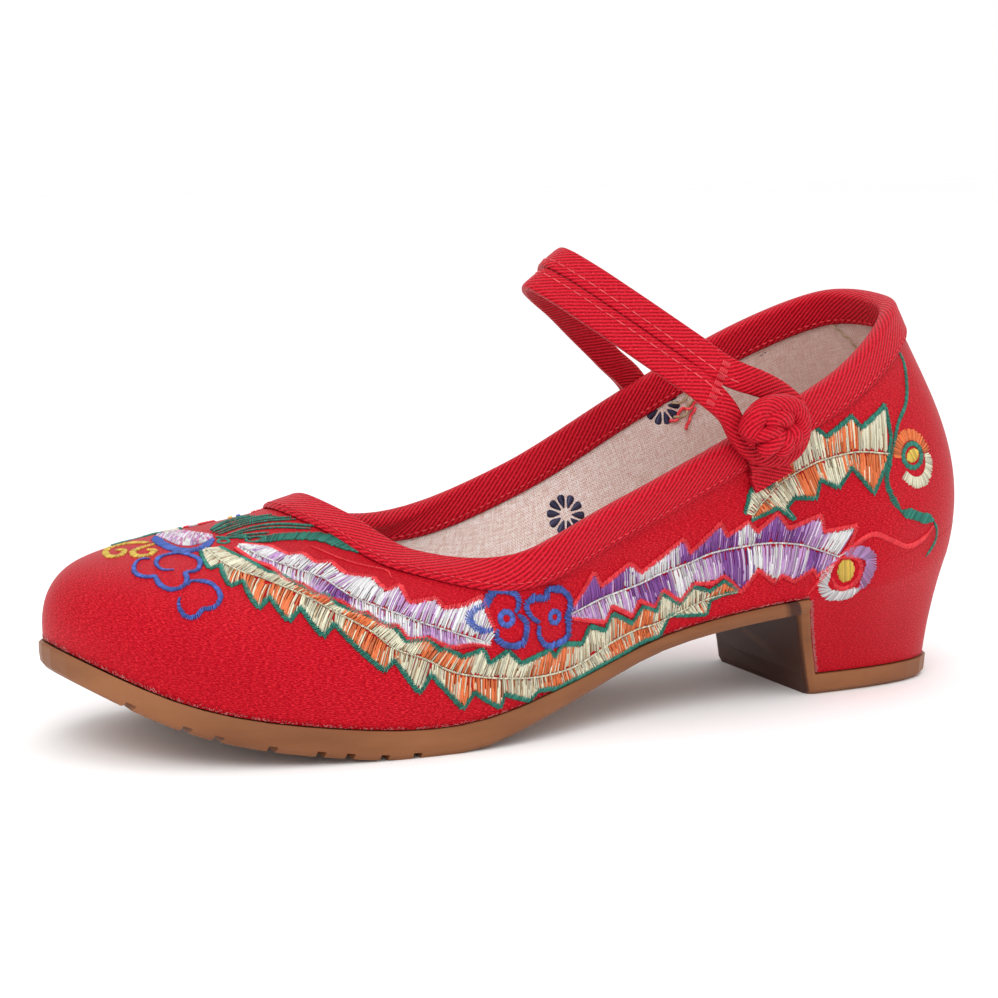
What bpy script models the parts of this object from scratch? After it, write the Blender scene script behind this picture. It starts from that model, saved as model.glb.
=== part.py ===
"""Left Chinese cloth shoe: embroidered upper, instep strap with a knot button, cloth-covered block heel.

Metres, +Z up, +X towards the toe, +Y towards the outer side of the foot.
The origin is the centre of the heel's flat base, on the floor.
"""
import math
from collections import namedtuple

import bmesh
import bpy
import numpy as np
from mathutils import Matrix, Vector

MM = 0.001

# Driving sizes
SHOE_LENGTH = 234 * MM      # along the feather line, where the upper meets the sole
BALL_WIDTH = 77 * MM        # across the feather line at the ball
COLLAR_HEIGHT = 95.5 * MM   # collar edge above the floor, at the back
HEEL_LIFT = 27 * MM         # feather line at the back, above the same line at the ball
TOE_SPRING = 19 * MM        # feather line at the toe tip, above the same line at the ball
CLEARANCE = 0.3 * MM        # between neighbouring pieces

# Outsole
BALL_THICKNESS = 6.4 * MM
WAIST_THICKNESS = 3.2 * MM
SOLE_LIP = 1.0 * MM         # how far the sole's edge stands outside the upper
EDGE_ROUND = 1.1 * MM       # rounding of the sole's bottom edge
LIP_ROUND = 0.6 * MM        # rounding of the sole's top edge
BALL_PRESS = 0.5 * MM       # how far the curve of the underside is cut off flat at the ball
GROOVE_WIDTH = 2.0 * MM
GROOVE_DEPTH = 1.4 * MM
SEAT_THICKNESS = 3.0 * MM   # of the sole over the heel, inside the cloth
SEAT_INSET = 1.4 * MM       # of the sole's edge there, inside the cloth's inner face

# Heel
HEEL_LENGTH = 41.3 * MM     # flat base, back to breast
HEEL_UNDERCUT = 8.2 * MM    # how far the base's back lies inside the back of the feather line
BASE_OUTER = 23.3 * MM      # half width of the base, outer side
BASE_INNER = 20.7 * MM
TOP_PIECE = 5.6 * MM        # bare rubber under the cloth cover
BREAST_RIM = 3.0 * MM       # bare rubber at the front edge of the heel's sides
RIM_LIP = 0.9 * MM          # how far rim and top piece stand outside the cloth
BREAST_ROUND = 2.0 * MM
BREAST_LEAN = (2.4 * MM, 7.6 * MM)    # its top ahead of its base, at its inner and outer ends
COVER_GAP = 0.6 * MM        # glue gap between the cloth cover and the rubber
HEEL_WAIST = 1.0 * MM       # hollow of the heel's back and sides, halfway up
BACK_ROUNDNESS = 0.8        # powers that shape the base's back: 1 and 1 give half an ellipse
SIDE_ROUNDNESS = 0.45

# Upper, binding and insole
UPPER_WALL = 2.0 * MM
BINDING_WIDTH = 7.5 * MM
BINDING_TAPE = 0.9 * MM
BINDING_SLACK = 0.2 * MM    # more room round the wall
INSOLE_THICKNESS = 2.5 * MM
INSOLE_GAP = 0.5 * MM

# Strap, knot and tab
TAPE_WIDTH = 6.9 * MM
TAPE_THICKNESS = 2.0 * MM
TAPE_SPACING = 7.2 * MM     # between the centre lines of the two runs of tape
TAPE_FLAT = 0.75            # share of its width that is flat
TAPE_EDGE = 0.4             # thickness at its edges, as a share
LOOP_WIDTH = 5.0 * MM
LOOP_THICKNESS = 2.6 * MM
LOOP_RADIUS = 8.0 * MM      # centre line of the loop round the knot's neck
STRAP_REACH = 56.4 * MM     # from the line between its two ends to the fold at the top
STRAP_LEAN = math.radians(39)   # of the strap's arch above the horizontal
TAPE_LEAN = math.radians(54)    # the two tapes, one above the other, from upright
STRAP_TAIL = 10 * MM        # sewn down outside the inner collar
STRAP_GAP = 1.1 * MM        # between the strap's ends and the binding
TAB_THICKNESS = 1.0 * MM
TAB_TOP = 1.0 * MM          # tab's upper and lower ends, below the collar edge
TAB_END = 13.7 * MM
TAB_STEP = 2.0 * MM         # stretch over which it comes down off the binding
TAB_SPAN = 0.32             # its width, in rows of ROWS
KNOT_DROP = 0.6 * MM        # loop's centre below the collar edge
KNOT_TOEWARD = 3.0 * MM     # knot's centre from the loop's, towards the toe
KNOT_UP = 1.2 * MM          # and upwards
KNOT_HEIGHT = 9.0 * MM      # knot's centre above the upper's surface
KNOT_RING = 6.2 * MM        # centre line of the knot's outer turn, along the shoe
KNOT_OVAL = 0.74            # the same up the shoe, as a share
KNOT_CORD = 3.1 * MM
KNOT_NECK = 2.6 * MM
KNOT_CORE = 0.8             # half depth of the knot's core, as a share of KNOT_CORD
BEAD_PLACE = (-0.10, 0.35, 0.34)    # toeward, up and out of the knot's centre, in KNOT_RING
BEAD_SIZE = (0.85, 0.62, 0.75)      # half widths, as shares of KNOT_CORD

# One row for each place round the shoe, from the back (0) along the outer side to the toe (8)
# and back along the inner side. foot is the feather line and top the collar edge. x is a share
# of SHOE_LENGTH from the back, y of BALL_WIDTH and z of COLLAR_HEIGHT. The wall between them
# leaves the foot with rise and flare, and meets the top from reach and drop: rise and drop are
# shares of COLLAR_HEIGHT, flare of BALL_WIDTH and reach of the distance from top to foot.
Row = namedtuple("Row", "foot_x foot_y top_x top_y top_z rise flare reach drop")
ROWS = (
    Row(0.000, 0.004, 0.069, -0.016, 1.000, 0.262, 0.077, 0.50, 0.205),
    Row(0.033, 0.274, 0.098, 0.213, 0.968, 0.266, 0.078, 0.52, 0.197),
    Row(0.125, 0.396, 0.183, 0.349, 0.840, 0.230, 0.065, 0.50, 0.210),
    Row(0.236, 0.396, 0.313, 0.410, 0.700, 0.188, 0.039, 0.50, 0.167),
    Row(0.404, 0.379, 0.452, 0.451, 0.559, 0.167, 0.039, 0.60, 0.146),
    Row(0.603, 0.503, 0.575, 0.438, 0.445, 0.188, 0.052, 0.70, 0.083),
    Row(0.800, 0.462, 0.660, 0.290, 0.449, 0.230, 0.052, 0.65, 0.063),
    Row(0.936, 0.284, 0.707, 0.130, 0.524, 0.273, 0.054, 0.65, 0.106),
    Row(1.000, -0.039, 0.731, -0.047, 0.558, 0.266, 0.030, 0.58, 0.135),
    Row(0.946, -0.339, 0.723, -0.206, 0.530, 0.278, 0.047, 0.65, 0.092),
    Row(0.843, -0.469, 0.668, -0.329, 0.469, 0.229, 0.052, 0.63, 0.075),
    Row(0.707, -0.494, 0.576, -0.427, 0.455, 0.188, 0.048, 0.58, 0.120),
    Row(0.455, -0.313, 0.448, -0.427, 0.553, 0.167, 0.039, 0.60, 0.146),
    Row(0.273, -0.326, 0.315, -0.405, 0.730, 0.188, 0.039, 0.50, 0.167),
    Row(0.153, -0.352, 0.189, -0.361, 0.892, 0.230, 0.065, 0.50, 0.210),
    Row(0.048, -0.261, 0.094, -0.252, 0.990, 0.262, 0.078, 0.50, 0.209),
)

# Side view of the sole: heel and toe are shares of HEEL_LIFT and TOE_SPRING that the feather
# line stands above the ball, and full runs from WAIST_THICKNESS (0) to BALL_THICKNESS (1).
Side = namedtuple("Side", "along heel toe full")
SIDES = (
    Side(0.000, 1.000, 0.00, 0.0),
    Side(0.155, 0.770, 0.00, 0.0),
    Side(0.270, 0.694, 0.00, 0.0),
    Side(0.390, 0.522, 0.00, 0.0),
    Side(0.520, 0.226, 0.00, 0.4),
    Side(0.640, 0.015, 0.00, 1.0),
    Side(0.775, 0.000, 0.12, 1.0),
    Side(0.905, 0.000, 0.46, 0.9),
    Side(1.000, 0.000, 1.00, 0.8),
)

# Grooves across the forefoot, as shares of SHOE_LENGTH from the back
GROOVES = (0.690, 0.723, 0.757, 0.785, 0.830, 0.878, 0.905, 0.950)

# The strap's arch: across is a share of the way between its ends, and reach of STRAP_REACH.
# spread sets the two runs of tape side by side (1) and stack lays one on the other (1).
Arch = namedtuple("Arch", "across reach spread stack")
ARCH = (
    Arch(0.000, 0.000, 0.00, 1.00),
    Arch(0.070, 0.240, 0.05, 1.00),
    Arch(0.150, 0.480, 0.15, 1.00),
    Arch(0.270, 0.720, 0.40, 1.00),
    Arch(0.380, 0.890, 0.80, 1.00),
    Arch(0.460, 0.965, 1.00, 0.80),
    Arch(0.540, 1.000, 1.00, 0.20),
    Arch(0.655, 0.914, 1.00, 0.00),
    Arch(0.740, 0.785, 1.00, 0.00),
    Arch(0.905, 0.490, 1.00, 0.00),
    Arch(0.985, 0.340, 1.00, 0.00),
)

# The loop round the knot, in the plane of the wall there, as shares of LOOP_RADIUS from the
# knot: toeward and up. wide runs from LOOP_WIDTH (0) to TAPE_WIDTH (1).
Loop = namedtuple("Loop", "toeward up wide")
LOOP = (
    Loop(1.60, 0.56, 0.4),
    Loop(1.30, 0.00, 0.1),
    Loop(0.95, -0.42, 0.0),
    Loop(0.45, -0.72, 0.0),
    Loop(-0.10, -0.80, 0.0),
    Loop(-0.58, -0.70, 0.0),
    Loop(-0.92, -0.38, 0.0),
    Loop(-1.02, 0.10, 0.0),
    Loop(-0.85, 0.58, 0.1),
    Loop(-0.35, 1.00, 0.3),
    Loop(0.26, 1.30, 0.6),
)

# Places on the upper, as positions in ROWS
TOE_PLACE = 8
KNOT_PLACE = 2.85
TAB_PLACE = 2.93
STRAP_PLACE = 13.18

# Mesh steps
HEEL_STEPS = 9
FOREPART_STEPS = 20
TOE_STEPS = 8
TOE_START = 0.86            # share of SHOE_LENGTH where the toe's finer steps start
WALL_LEVELS = (0.0, 0.06, 0.14, 0.24, 0.36, 0.48, 0.60, 0.72, 0.82, 0.90, 0.96, 1.0)
COVER_STEPS = 4
BINDING_ROWS = (1.0, 0.66, 0.33, 0.0)   # shares of BINDING_WIDTH below the collar edge
TAPE_STEP = 3.0 * MM
TAB_COLUMNS = 7
CORD_STEPS = 20             # round the knot's outer turn
CORD_SIDES = 10
NECK_SIDES = 16
COLLAR_STEPS = 8            # of a walk down the wall from the collar
FINE = 400                  # points of a curve that is searched or measured
NUDGE = 0.01                # rows or levels either side of a point, where a slope is measured
SHARP_ANGLE = math.radians(40)

BREAST_X = HEEL_LENGTH / 2
BACK_X = -HEEL_LENGTH / 2 - HEEL_UNDERCUT
COVER_X = BREAST_X - BREAST_RIM - CLEARANCE     # front edge of the heel's cloth cover


# Curves


def periodic(values, places):
    """Catmull-Rom curve through rows that close on themselves, at places counted in rows."""
    values = np.asarray(values, float)
    places = np.asarray(places, float)
    first = np.floor(places).astype(int)
    t = (places - first)[..., None]
    p0, p1, p2, p3 = (values[(first + k) % len(values)] for k in (-1, 0, 1, 2))
    bend = 2 * p0 - 5 * p1 + 4 * p2 - p3
    twist = 3 * p1 - p0 - 3 * p2 + p3
    return 0.5 * (2 * p1 + (p2 - p0) * t + bend * t**2 + twist * t**3)


def through(knots, values, at):
    """Smooth curve through values given at rising knots."""
    knots = np.asarray(knots, float)
    values = np.asarray(values, float)
    slopes = np.gradient(values, knots, axis=0)
    at = np.clip(at, knots[0], knots[-1])
    i = np.clip(np.searchsorted(knots, at, "right") - 1, 0, len(knots) - 2)
    gap = knots[i + 1] - knots[i]
    t = (at - knots[i]) / gap
    if values.ndim > 1:
        t = t[..., None]
        gap = gap[..., None]
    start = (2 * t**3 - 3 * t**2 + 1) * values[i] + (t**3 - 2 * t**2 + t) * gap * slopes[i]
    end = (3 * t**2 - 2 * t**3) * values[i + 1] + (t**3 - t**2) * gap * slopes[i + 1]
    return start + end


def lengths_along(points):
    steps = np.linalg.norm(np.diff(points, axis=0), axis=1)
    return np.concatenate([[0.0], np.cumsum(steps)])


def spaced(points, shares):
    """Points of a polyline at the given shares of its length."""
    run = lengths_along(points)
    return np.column_stack([np.interp(shares * run[-1], run, column) for column in points.T])


def unit(vectors):
    return vectors / np.linalg.norm(vectors, axis=-1, keepdims=True)


# The shoe's form


def side_view(x, column):
    """A column of SIDES at x, in metres from the origin."""
    knots = [side.along for side in SIDES]
    values = [getattr(side, column) for side in SIDES]
    return through(knots, values, (x - BACK_X) / SHOE_LENGTH)


def feather_height(x):
    return BALL_THICKNESS + HEEL_LIFT * side_view(x, "heel") + TOE_SPRING * side_view(x, "toe")


def underside_height(x):
    """Bottom of the sole, flat at the ball."""
    thickness = WAIST_THICKNESS + (BALL_THICKNESS - WAIST_THICKNESS) * side_view(x, "full")
    return np.maximum(feather_height(x) - thickness - BALL_PRESS, 0)


def foot_points(places):
    shares = periodic([(row.foot_x, row.foot_y) for row in ROWS], places)
    return shares * (SHOE_LENGTH, BALL_WIDTH) + (BACK_X, 0)


def foot_outward(places):
    ahead = unit(foot_points(places + NUDGE) - foot_points(places - NUDGE))
    return np.stack([-ahead[..., 1], ahead[..., 0]], -1)


def raised(flat, height):
    """Points of a flat line with their heights added."""
    return np.concatenate([flat, np.reshape(height, flat.shape[:-1] + (1,))], -1)


def collar_points(places):
    top = periodic([(row.top_x, row.top_y, row.top_z) for row in ROWS], places)
    return top * (SHOE_LENGTH, BALL_WIDTH, COLLAR_HEIGHT) + (BACK_X, 0, 0)


def wall_points(places, levels):
    """The upper's outer surface: level 0 is the feather line and level 1 the collar edge."""
    places, levels = np.broadcast_arrays(np.asarray(places, float), np.asarray(levels, float))
    foot = foot_points(places)
    foot = raised(foot, feather_height(foot[..., 0]))
    top = collar_points(places)
    bend = periodic([(row.rise, row.flare, row.reach, row.drop) for row in ROWS], places)
    rise, flare, reach, drop = np.moveaxis(bend, -1, 0)[..., None]
    low = foot + raised(foot_outward(places) * flare * BALL_WIDTH, rise * COLLAR_HEIGHT)
    high = top + raised((foot - top)[..., :2] * reach, -drop * COLLAR_HEIGHT)
    t = levels[..., None]
    return (1 - t)**3 * foot + 3 * (1 - t)**2 * t * low + 3 * (1 - t) * t**2 * high + t**3 * top


def wall_slopes(places, levels):
    """How fast the wall's points move with place and with level."""
    ahead, behind = places + NUDGE, places - NUDGE
    around = (wall_points(ahead, levels) - wall_points(behind, levels)) / (2 * NUDGE)
    above = np.minimum(levels + NUDGE, 1)
    below = np.maximum(levels - NUDGE, 0)
    climb = (wall_points(places, above) - wall_points(places, below)) / (above - below)[..., None]
    return around, climb


def wall_normals(places, levels):
    places, levels = np.broadcast_arrays(np.asarray(places, float), np.asarray(levels, float))
    around, climb = wall_slopes(places, levels)
    return unit(np.cross(climb, around))


def collar_direction(places):
    return unit(collar_points(places + NUDGE) - collar_points(places - NUDGE))


def below_collar(places, distance):
    """Places and levels at a distance down the wall, square to the collar edge."""
    places = np.array(places, float)
    levels = np.ones_like(places)
    edge = collar_direction(places)
    for _ in range(COLLAR_STEPS):
        around, climb = wall_slopes(places, levels)
        down = unit(np.cross(unit(np.cross(climb, around)), edge)) * distance / COLLAR_STEPS
        aa, ac, cc = (np.sum(a * b, -1) for a, b in
                      ((around, around), (around, climb), (climb, climb)))
        da, dc = np.sum(around * down, -1), np.sum(climb * down, -1)
        spread = aa * cc - ac**2
        places = places + (da * cc - dc * ac) / spread
        levels = levels + (dc * aa - da * ac) / spread
    return places, levels


# Stations: the same places round the shoe serve sole, insole, upper and binding


def furthest(near, pick):
    """Place within a row of near where the feather line reaches furthest back or forward."""
    places = np.linspace(near - 1, near + 1, FINE + 1)
    return places[pick(foot_points(places)[:, 0])]


def station_xs(lean):
    """Stations along the shoe, closer together at the back and the toe."""
    turn = np.linspace(0, math.pi / 2, HEEL_STEPS + 1)
    heel = BACK_X + (COVER_X + lean - BACK_X) * (1 - np.cos(turn))
    breast = (BREAST_X + lean - BREAST_RIM, BREAST_X + lean)
    toe_start = BACK_X + TOE_START * SHOE_LENGTH
    forepart = np.linspace(breast[-1], toe_start, FOREPART_STEPS + 1)[1:]
    turn = np.linspace(0, math.pi / 2, TOE_STEPS + 1)[1:]
    toe_end = foot_points(furthest(TOE_PLACE, np.argmax))[0]
    toe = toe_start + (toe_end - toe_start) * np.sin(turn)
    return np.concatenate([heel, breast, forepart, toe])


def station_places():
    """Places in ROWS, from the back along the outer side to the toe and back."""
    back = furthest(0, np.argmin)
    tip = furthest(TOE_PLACE, np.argmax)
    outer = np.linspace(back, tip, 3 * FINE + 1)
    inner = np.linspace(back + len(ROWS), tip, 3 * FINE + 1)
    outer = np.interp(station_xs(BREAST_LEAN[1]), foot_points(outer)[:, 0], outer)
    inner = np.interp(station_xs(BREAST_LEAN[0]), foot_points(inner)[:, 0], inner)
    return np.concatenate([outer, inner[-2:0:-1]])


PLACES = station_places()
COUNT = len(PLACES)
TIP = COUNT // 2
HEEL_SIDE = np.arange(-HEEL_STEPS, HEEL_STEPS + 1)      # columns with cloth over the heel
HEEL_PLACES = np.where(HEEL_SIDE < 0, PLACES[HEEL_SIDE] - len(ROWS), PLACES[HEEL_SIDE])


def offset_line(points, distance, closed=True):
    """Line moved sideways, out of the shoe where distance is positive."""
    if closed:
        ahead = np.roll(points, -1, 0) - np.roll(points, 1, 0)
    else:
        ahead = np.gradient(points, axis=0)
    ahead = unit(ahead)
    side = np.column_stack([-ahead[:, 1], ahead[:, 0]])
    return points + side * np.reshape(distance, (-1, 1))


def base_line():
    """Heel base at the floor, one point for each heel column, inner side to outer side."""
    turn = np.linspace(math.pi / 2, 0.0, FINE)
    along = BREAST_X - HEEL_LENGTH * np.sin(turn)**BACK_ROUNDNESS
    halves = []
    for half_width in (-BASE_INNER, BASE_OUTER):
        line = np.column_stack([along, half_width * np.cos(turn)**SIDE_ROUNDNESS])
        line = line[line[:, 0] <= COVER_X]
        line = np.vstack([line, (COVER_X, line[-1, 1])])
        halves.append(line)
    feather = foot_points(HEEL_PLACES)
    inner = lengths_along(feather[HEEL_STEPS::-1])
    outer = lengths_along(feather[HEEL_STEPS:])
    inner = spaced(halves[0], inner / inner[-1])
    outer = spaced(halves[1], outer / outer[-1])
    return np.vstack([inner[:0:-1], outer])


def heel_line(height, offset=0.0):
    """The heel's side at a height, which may differ from column to column."""
    feather = foot_points(HEEL_PLACES)
    share = height / feather_height(feather[:, 0])
    line = base_line() + (feather - base_line()) * share[:, None]
    line = offset_line(line, offset - HEEL_WAIST * 4 * share * (1 - share), closed=False)
    line[[0, -1], 0] = COVER_X + share[[0, -1]] * BREAST_LEAN
    return np.column_stack([line, np.broadcast_to(height, len(line))])


# Meshes


def collection(name):
    group = bpy.data.collections.new(name)
    bpy.context.scene.collection.children.link(group)
    return group


def add_object(name, mesh, group, material=None):
    thing = bpy.data.objects.new(name, mesh)
    group.objects.link(thing)
    if material is not None:
        mesh.materials.append(material)
        mesh.shade_smooth()
        mesh.set_sharp_from_angle(angle=SHARP_ANGLE)
    return thing


def make_material(name, colour, roughness):
    material = bpy.data.materials.new(name)
    material.use_nodes = True
    shader = material.node_tree.nodes["Principled BSDF"]
    shader.inputs["Base Color"].default_value = (*colour, 1.0)
    shader.inputs["Roughness"].default_value = roughness
    shader.inputs["Metallic"].default_value = 0.0
    return material


def finish(mesh_data, name):
    bmesh.ops.recalc_face_normals(mesh_data, faces=mesh_data.faces)
    mesh = bpy.data.meshes.new(name)
    mesh_data.to_mesh(mesh)
    mesh_data.free()
    return mesh


def strip_cap(data, ring):
    """Close a ring whose first point is at one end, with strips straight across."""
    count = len(ring)
    low, high = 0, count
    while low + 1 < high:
        corners = [ring[low % count], ring[low + 1], ring[high - 1], ring[high % count]]
        data.faces.new(list(dict.fromkeys(corners)))
        low += 1
        high -= 1
        if low + 1 == high:
            break


def stacked(name, rings):
    """Solid through rings laid one on another, closed at both ends by strips across."""
    data = bmesh.new()
    rows = [[data.verts.new(point) for point in ring] for ring in rings]
    for lower, upper in zip(rows, rows[1:]):
        for i in range(len(lower)):
            j = (i + 1) % len(lower)
            data.faces.new((lower[i], lower[j], upper[j], upper[i]))
    strip_cap(data, rows[0])
    strip_cap(data, rows[-1])
    return finish(data, name)


def tube(name, rings, closed):
    """Skin through sections along a path, joined end to end or capped."""
    data = bmesh.new()
    rows = [[data.verts.new(point) for point in ring] for ring in rings]
    pairs = zip(rows, rows[1:] + rows[:1]) if closed else zip(rows, rows[1:])
    for near, far in pairs:
        for i in range(len(near)):
            j = (i + 1) % len(near)
            data.faces.new((near[i], near[j], far[j], far[i]))
    if not closed:
        data.faces.new(rows[0])
        data.faces.new(rows[-1])
    return finish(data, name)


def thick_skin(name, outer, inner, faces):
    """Solid between two skins with the same faces, closed along their free edges."""
    data = bmesh.new()
    front = [data.verts.new(point) for point in outer]
    back = [data.verts.new(point) for point in inner]
    data.verts.index_update()
    for face in faces:
        data.faces.new([front[i] for i in face])
    rim = [[corner.index for corner in edge.verts] for edge in data.edges if edge.is_boundary]
    for face in faces:
        data.faces.new([back[i] for i in reversed(face)])
    for i, j in rim:
        data.faces.new((front[i], front[j], back[j], back[i]))
    return finish(data, name)


def combine(target, other, operation):
    modifier = target.modifiers.new(operation.title(), "BOOLEAN")
    modifier.operation = operation
    modifier.solver = "EXACT"
    modifier.object = other
    other.hide_render = True
    other.display_type = "WIRE"


# Sub-parts


def sole_ring(offset, height):
    """Ring round the sole. The heel's stretch lies inside the cloth cover."""
    foot = foot_points(PLACES)
    from_back = TIP - np.abs(np.arange(COUNT) - TIP)
    heel = from_back <= HEEL_STEPS
    line = offset_line(foot, np.where(heel, -UPPER_WALL - SEAT_INSET, offset))
    breast = np.abs(from_back - HEEL_STEPS - 1) <= 1
    line[breast, 0] = foot[breast, 0]
    low = feather_height(foot[:, 0]) - SEAT_THICKNESS
    return np.column_stack([line, np.where(heel, np.maximum(height, low), height)])


def heel_ring(height, side_offset, rim_offset):
    """Ring round the heel block: cloth-covered sides, bare rim and rounded breast."""
    sides = heel_line(height, side_offset)
    edge = heel_line(height)
    front = []
    for index, sign in ((-1, 1), (0, -1)):
        y = edge[index, 1] + sign * rim_offset
        z = edge[index, 2]
        breast = edge[index, 0] + CLEARANCE + BREAST_RIM
        bulge = BREAST_ROUND * (1 - math.sqrt(0.5))
        corner = [
            (breast - BREAST_RIM + CLEARANCE, y, z),
            (breast - BREAST_ROUND, y, z),
            (breast - bulge, y - sign * bulge, z),
            (breast, y - sign * BREAST_ROUND, z),
        ]
        front.append(corner if sign > 0 else corner[::-1])
    sides[[0, -1], 0] = edge[[0, -1], 0] + CLEARANCE
    return np.vstack([sides[HEEL_STEPS:], front[0], front[1], sides[:HEEL_STEPS]])


def make_outsole(group, cutters, material):
    feather = feather_height(foot_points(PLACES)[:, 0])
    underside = underside_height(foot_points(PLACES)[:, 0])
    top = feather - CLEARANCE
    rings = [
        sole_ring(SOLE_LIP - EDGE_ROUND, underside),
        sole_ring(SOLE_LIP - EDGE_ROUND / 4, underside + EDGE_ROUND),
        sole_ring(SOLE_LIP, (underside + EDGE_ROUND + top - LIP_ROUND) / 2),
        sole_ring(SOLE_LIP, top - LIP_ROUND),
        sole_ring(SOLE_LIP - LIP_ROUND, top),
    ]
    sole = add_object("outsole", stacked("outsole", rings), group, material)
    cloth = -UPPER_WALL - COVER_GAP
    ledge = TOP_PIECE - CLEARANCE
    under_sole = feather_height(foot_points(HEEL_PLACES)[:, 0]) - CLEARANCE - 2 * LIP_ROUND
    halfway = (ledge + under_sole) / 2
    rings = [
        heel_ring(np.zeros(len(HEEL_PLACES)), RIM_LIP - EDGE_ROUND, RIM_LIP - EDGE_ROUND),
        heel_ring(np.full(len(HEEL_PLACES), EDGE_ROUND), RIM_LIP, RIM_LIP),
        heel_ring(np.full(len(HEEL_PLACES), ledge), RIM_LIP, RIM_LIP),
        heel_ring(np.full(len(HEEL_PLACES), ledge), cloth, RIM_LIP),
        heel_ring(halfway, cloth, RIM_LIP),
        heel_ring(under_sole, cloth, RIM_LIP),
    ]
    heel = add_object("heel_block", stacked("heel_block", rings), cutters)
    combine(sole, heel, "UNION")
    combine(sole, make_grooves(cutters), "DIFFERENCE")
    return sole


def make_grooves(cutters):
    """Bars across the forefoot that leave the tread grooves, tilted to the underside."""
    data = bmesh.new()
    for share in GROOVES:
        x = BACK_X + share * SHOE_LENGTH
        span = np.array([x - GROOVE_WIDTH, x + GROOVE_WIDTH])
        low, high = underside_height(span)
        tilt = Matrix.Rotation(-math.atan2(high - low, 2 * GROOVE_WIDTH), 4, "Y")
        place = Matrix.Translation((x, 0, (low + high) / 2)) @ tilt
        size = Matrix.Diagonal((GROOVE_WIDTH, 2 * BALL_WIDTH, 2 * GROOVE_DEPTH, 1))
        bmesh.ops.create_cube(data, size=1, matrix=place @ size)
    return add_object("tread_grooves", finish(data, "tread_grooves"), cutters)


def make_insole(group, material):
    foot = foot_points(PLACES)
    line = offset_line(foot, -UPPER_WALL - INSOLE_GAP)
    height = feather_height(foot[:, 0])
    rings = [
        np.column_stack([line, height]),
        np.column_stack([line, height + INSOLE_THICKNESS]),
    ]
    return add_object("insole", stacked("insole", rings), group, material)


def make_upper(group, material):
    """Hollow wall from the collar to the feather line, and on down over the heel."""
    levels = len(WALL_LEVELS)
    grid = (PLACES[:, None], np.array(WALL_LEVELS)[None, :])
    outer = wall_points(*grid)
    inner = outer - wall_normals(*grid) * UPPER_WALL
    inner[:, 0, :2] = offset_line(foot_points(PLACES), -UPPER_WALL)
    inner[:, 0, 2] = outer[:, 0, 2]
    faces = []
    for i in range(COUNT):
        j = (i + 1) % COUNT
        for k in range(levels - 1):
            faces.append((i * levels + k, i * levels + k + 1, j * levels + k + 1, j * levels + k))
    outer = [outer.reshape(-1, 3)]
    inner = [inner.reshape(-1, 3)]
    feather = feather_height(foot_points(HEEL_PLACES)[:, 0])
    rows = [[(i % COUNT) * levels for i in HEEL_SIDE]]
    for step in range(1, COVER_STEPS + 1):
        height = feather + (TOP_PIECE - feather) * step / COVER_STEPS
        outer.append(heel_line(height))
        inner.append(heel_line(height, -UPPER_WALL))
        start = COUNT * levels + (step - 1) * len(HEEL_SIDE)
        rows.append(range(start, start + len(HEEL_SIDE)))
    for upper, lower in zip(rows, rows[1:]):
        for i in range(len(upper) - 1):
            faces.append((upper[i], upper[i + 1], lower[i + 1], lower[i]))
    mesh = thick_skin("upper", np.vstack(outer), np.vstack(inner), faces)
    return add_object("upper", mesh, group, material)


def make_binding(group, material):
    """Tape folded over the collar edge, all the way round."""
    gap = CLEARANCE + BINDING_SLACK
    skin = gap + BINDING_TAPE
    rows = [below_collar(PLACES, BINDING_WIDTH * share) for share in BINDING_ROWS]
    points = [wall_points(*row) for row in rows]
    normals = [wall_normals(*row) for row in rows]
    rise = unit(np.cross(collar_direction(PLACES), normals[-1]))
    outer = [p + n * skin for p, n in zip(points, normals)]
    inner = [p - n * (UPPER_WALL + skin) for p, n in zip(points, normals)]
    seat_out = [p + n * gap for p, n in zip(points, normals)]
    seat_in = [p - n * (UPPER_WALL + gap) for p, n in zip(points, normals)]
    outline = [
        *outer, seat_out[-1] + rise * skin, seat_in[-1] + rise * skin, *inner[::-1],
        *seat_in[:-1], seat_in[-1] + rise * gap, seat_out[-1] + rise * gap,
        *seat_out[-2::-1],
    ]
    sections = np.stack(outline, 1)
    return add_object("topline_binding", tube("topline_binding", sections, True), group, material)


def knot_frame():
    """Point on the upper under the loop, with its toeward, upward and outward directions."""
    spot = below_collar([KNOT_PLACE], KNOT_DROP)
    base = wall_points(*spot)[0]
    out = wall_normals(*spot)[0]
    toeward = unit(np.cross(out, (0, 0, 1)))
    return base, toeward, np.cross(toeward, out), out


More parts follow.
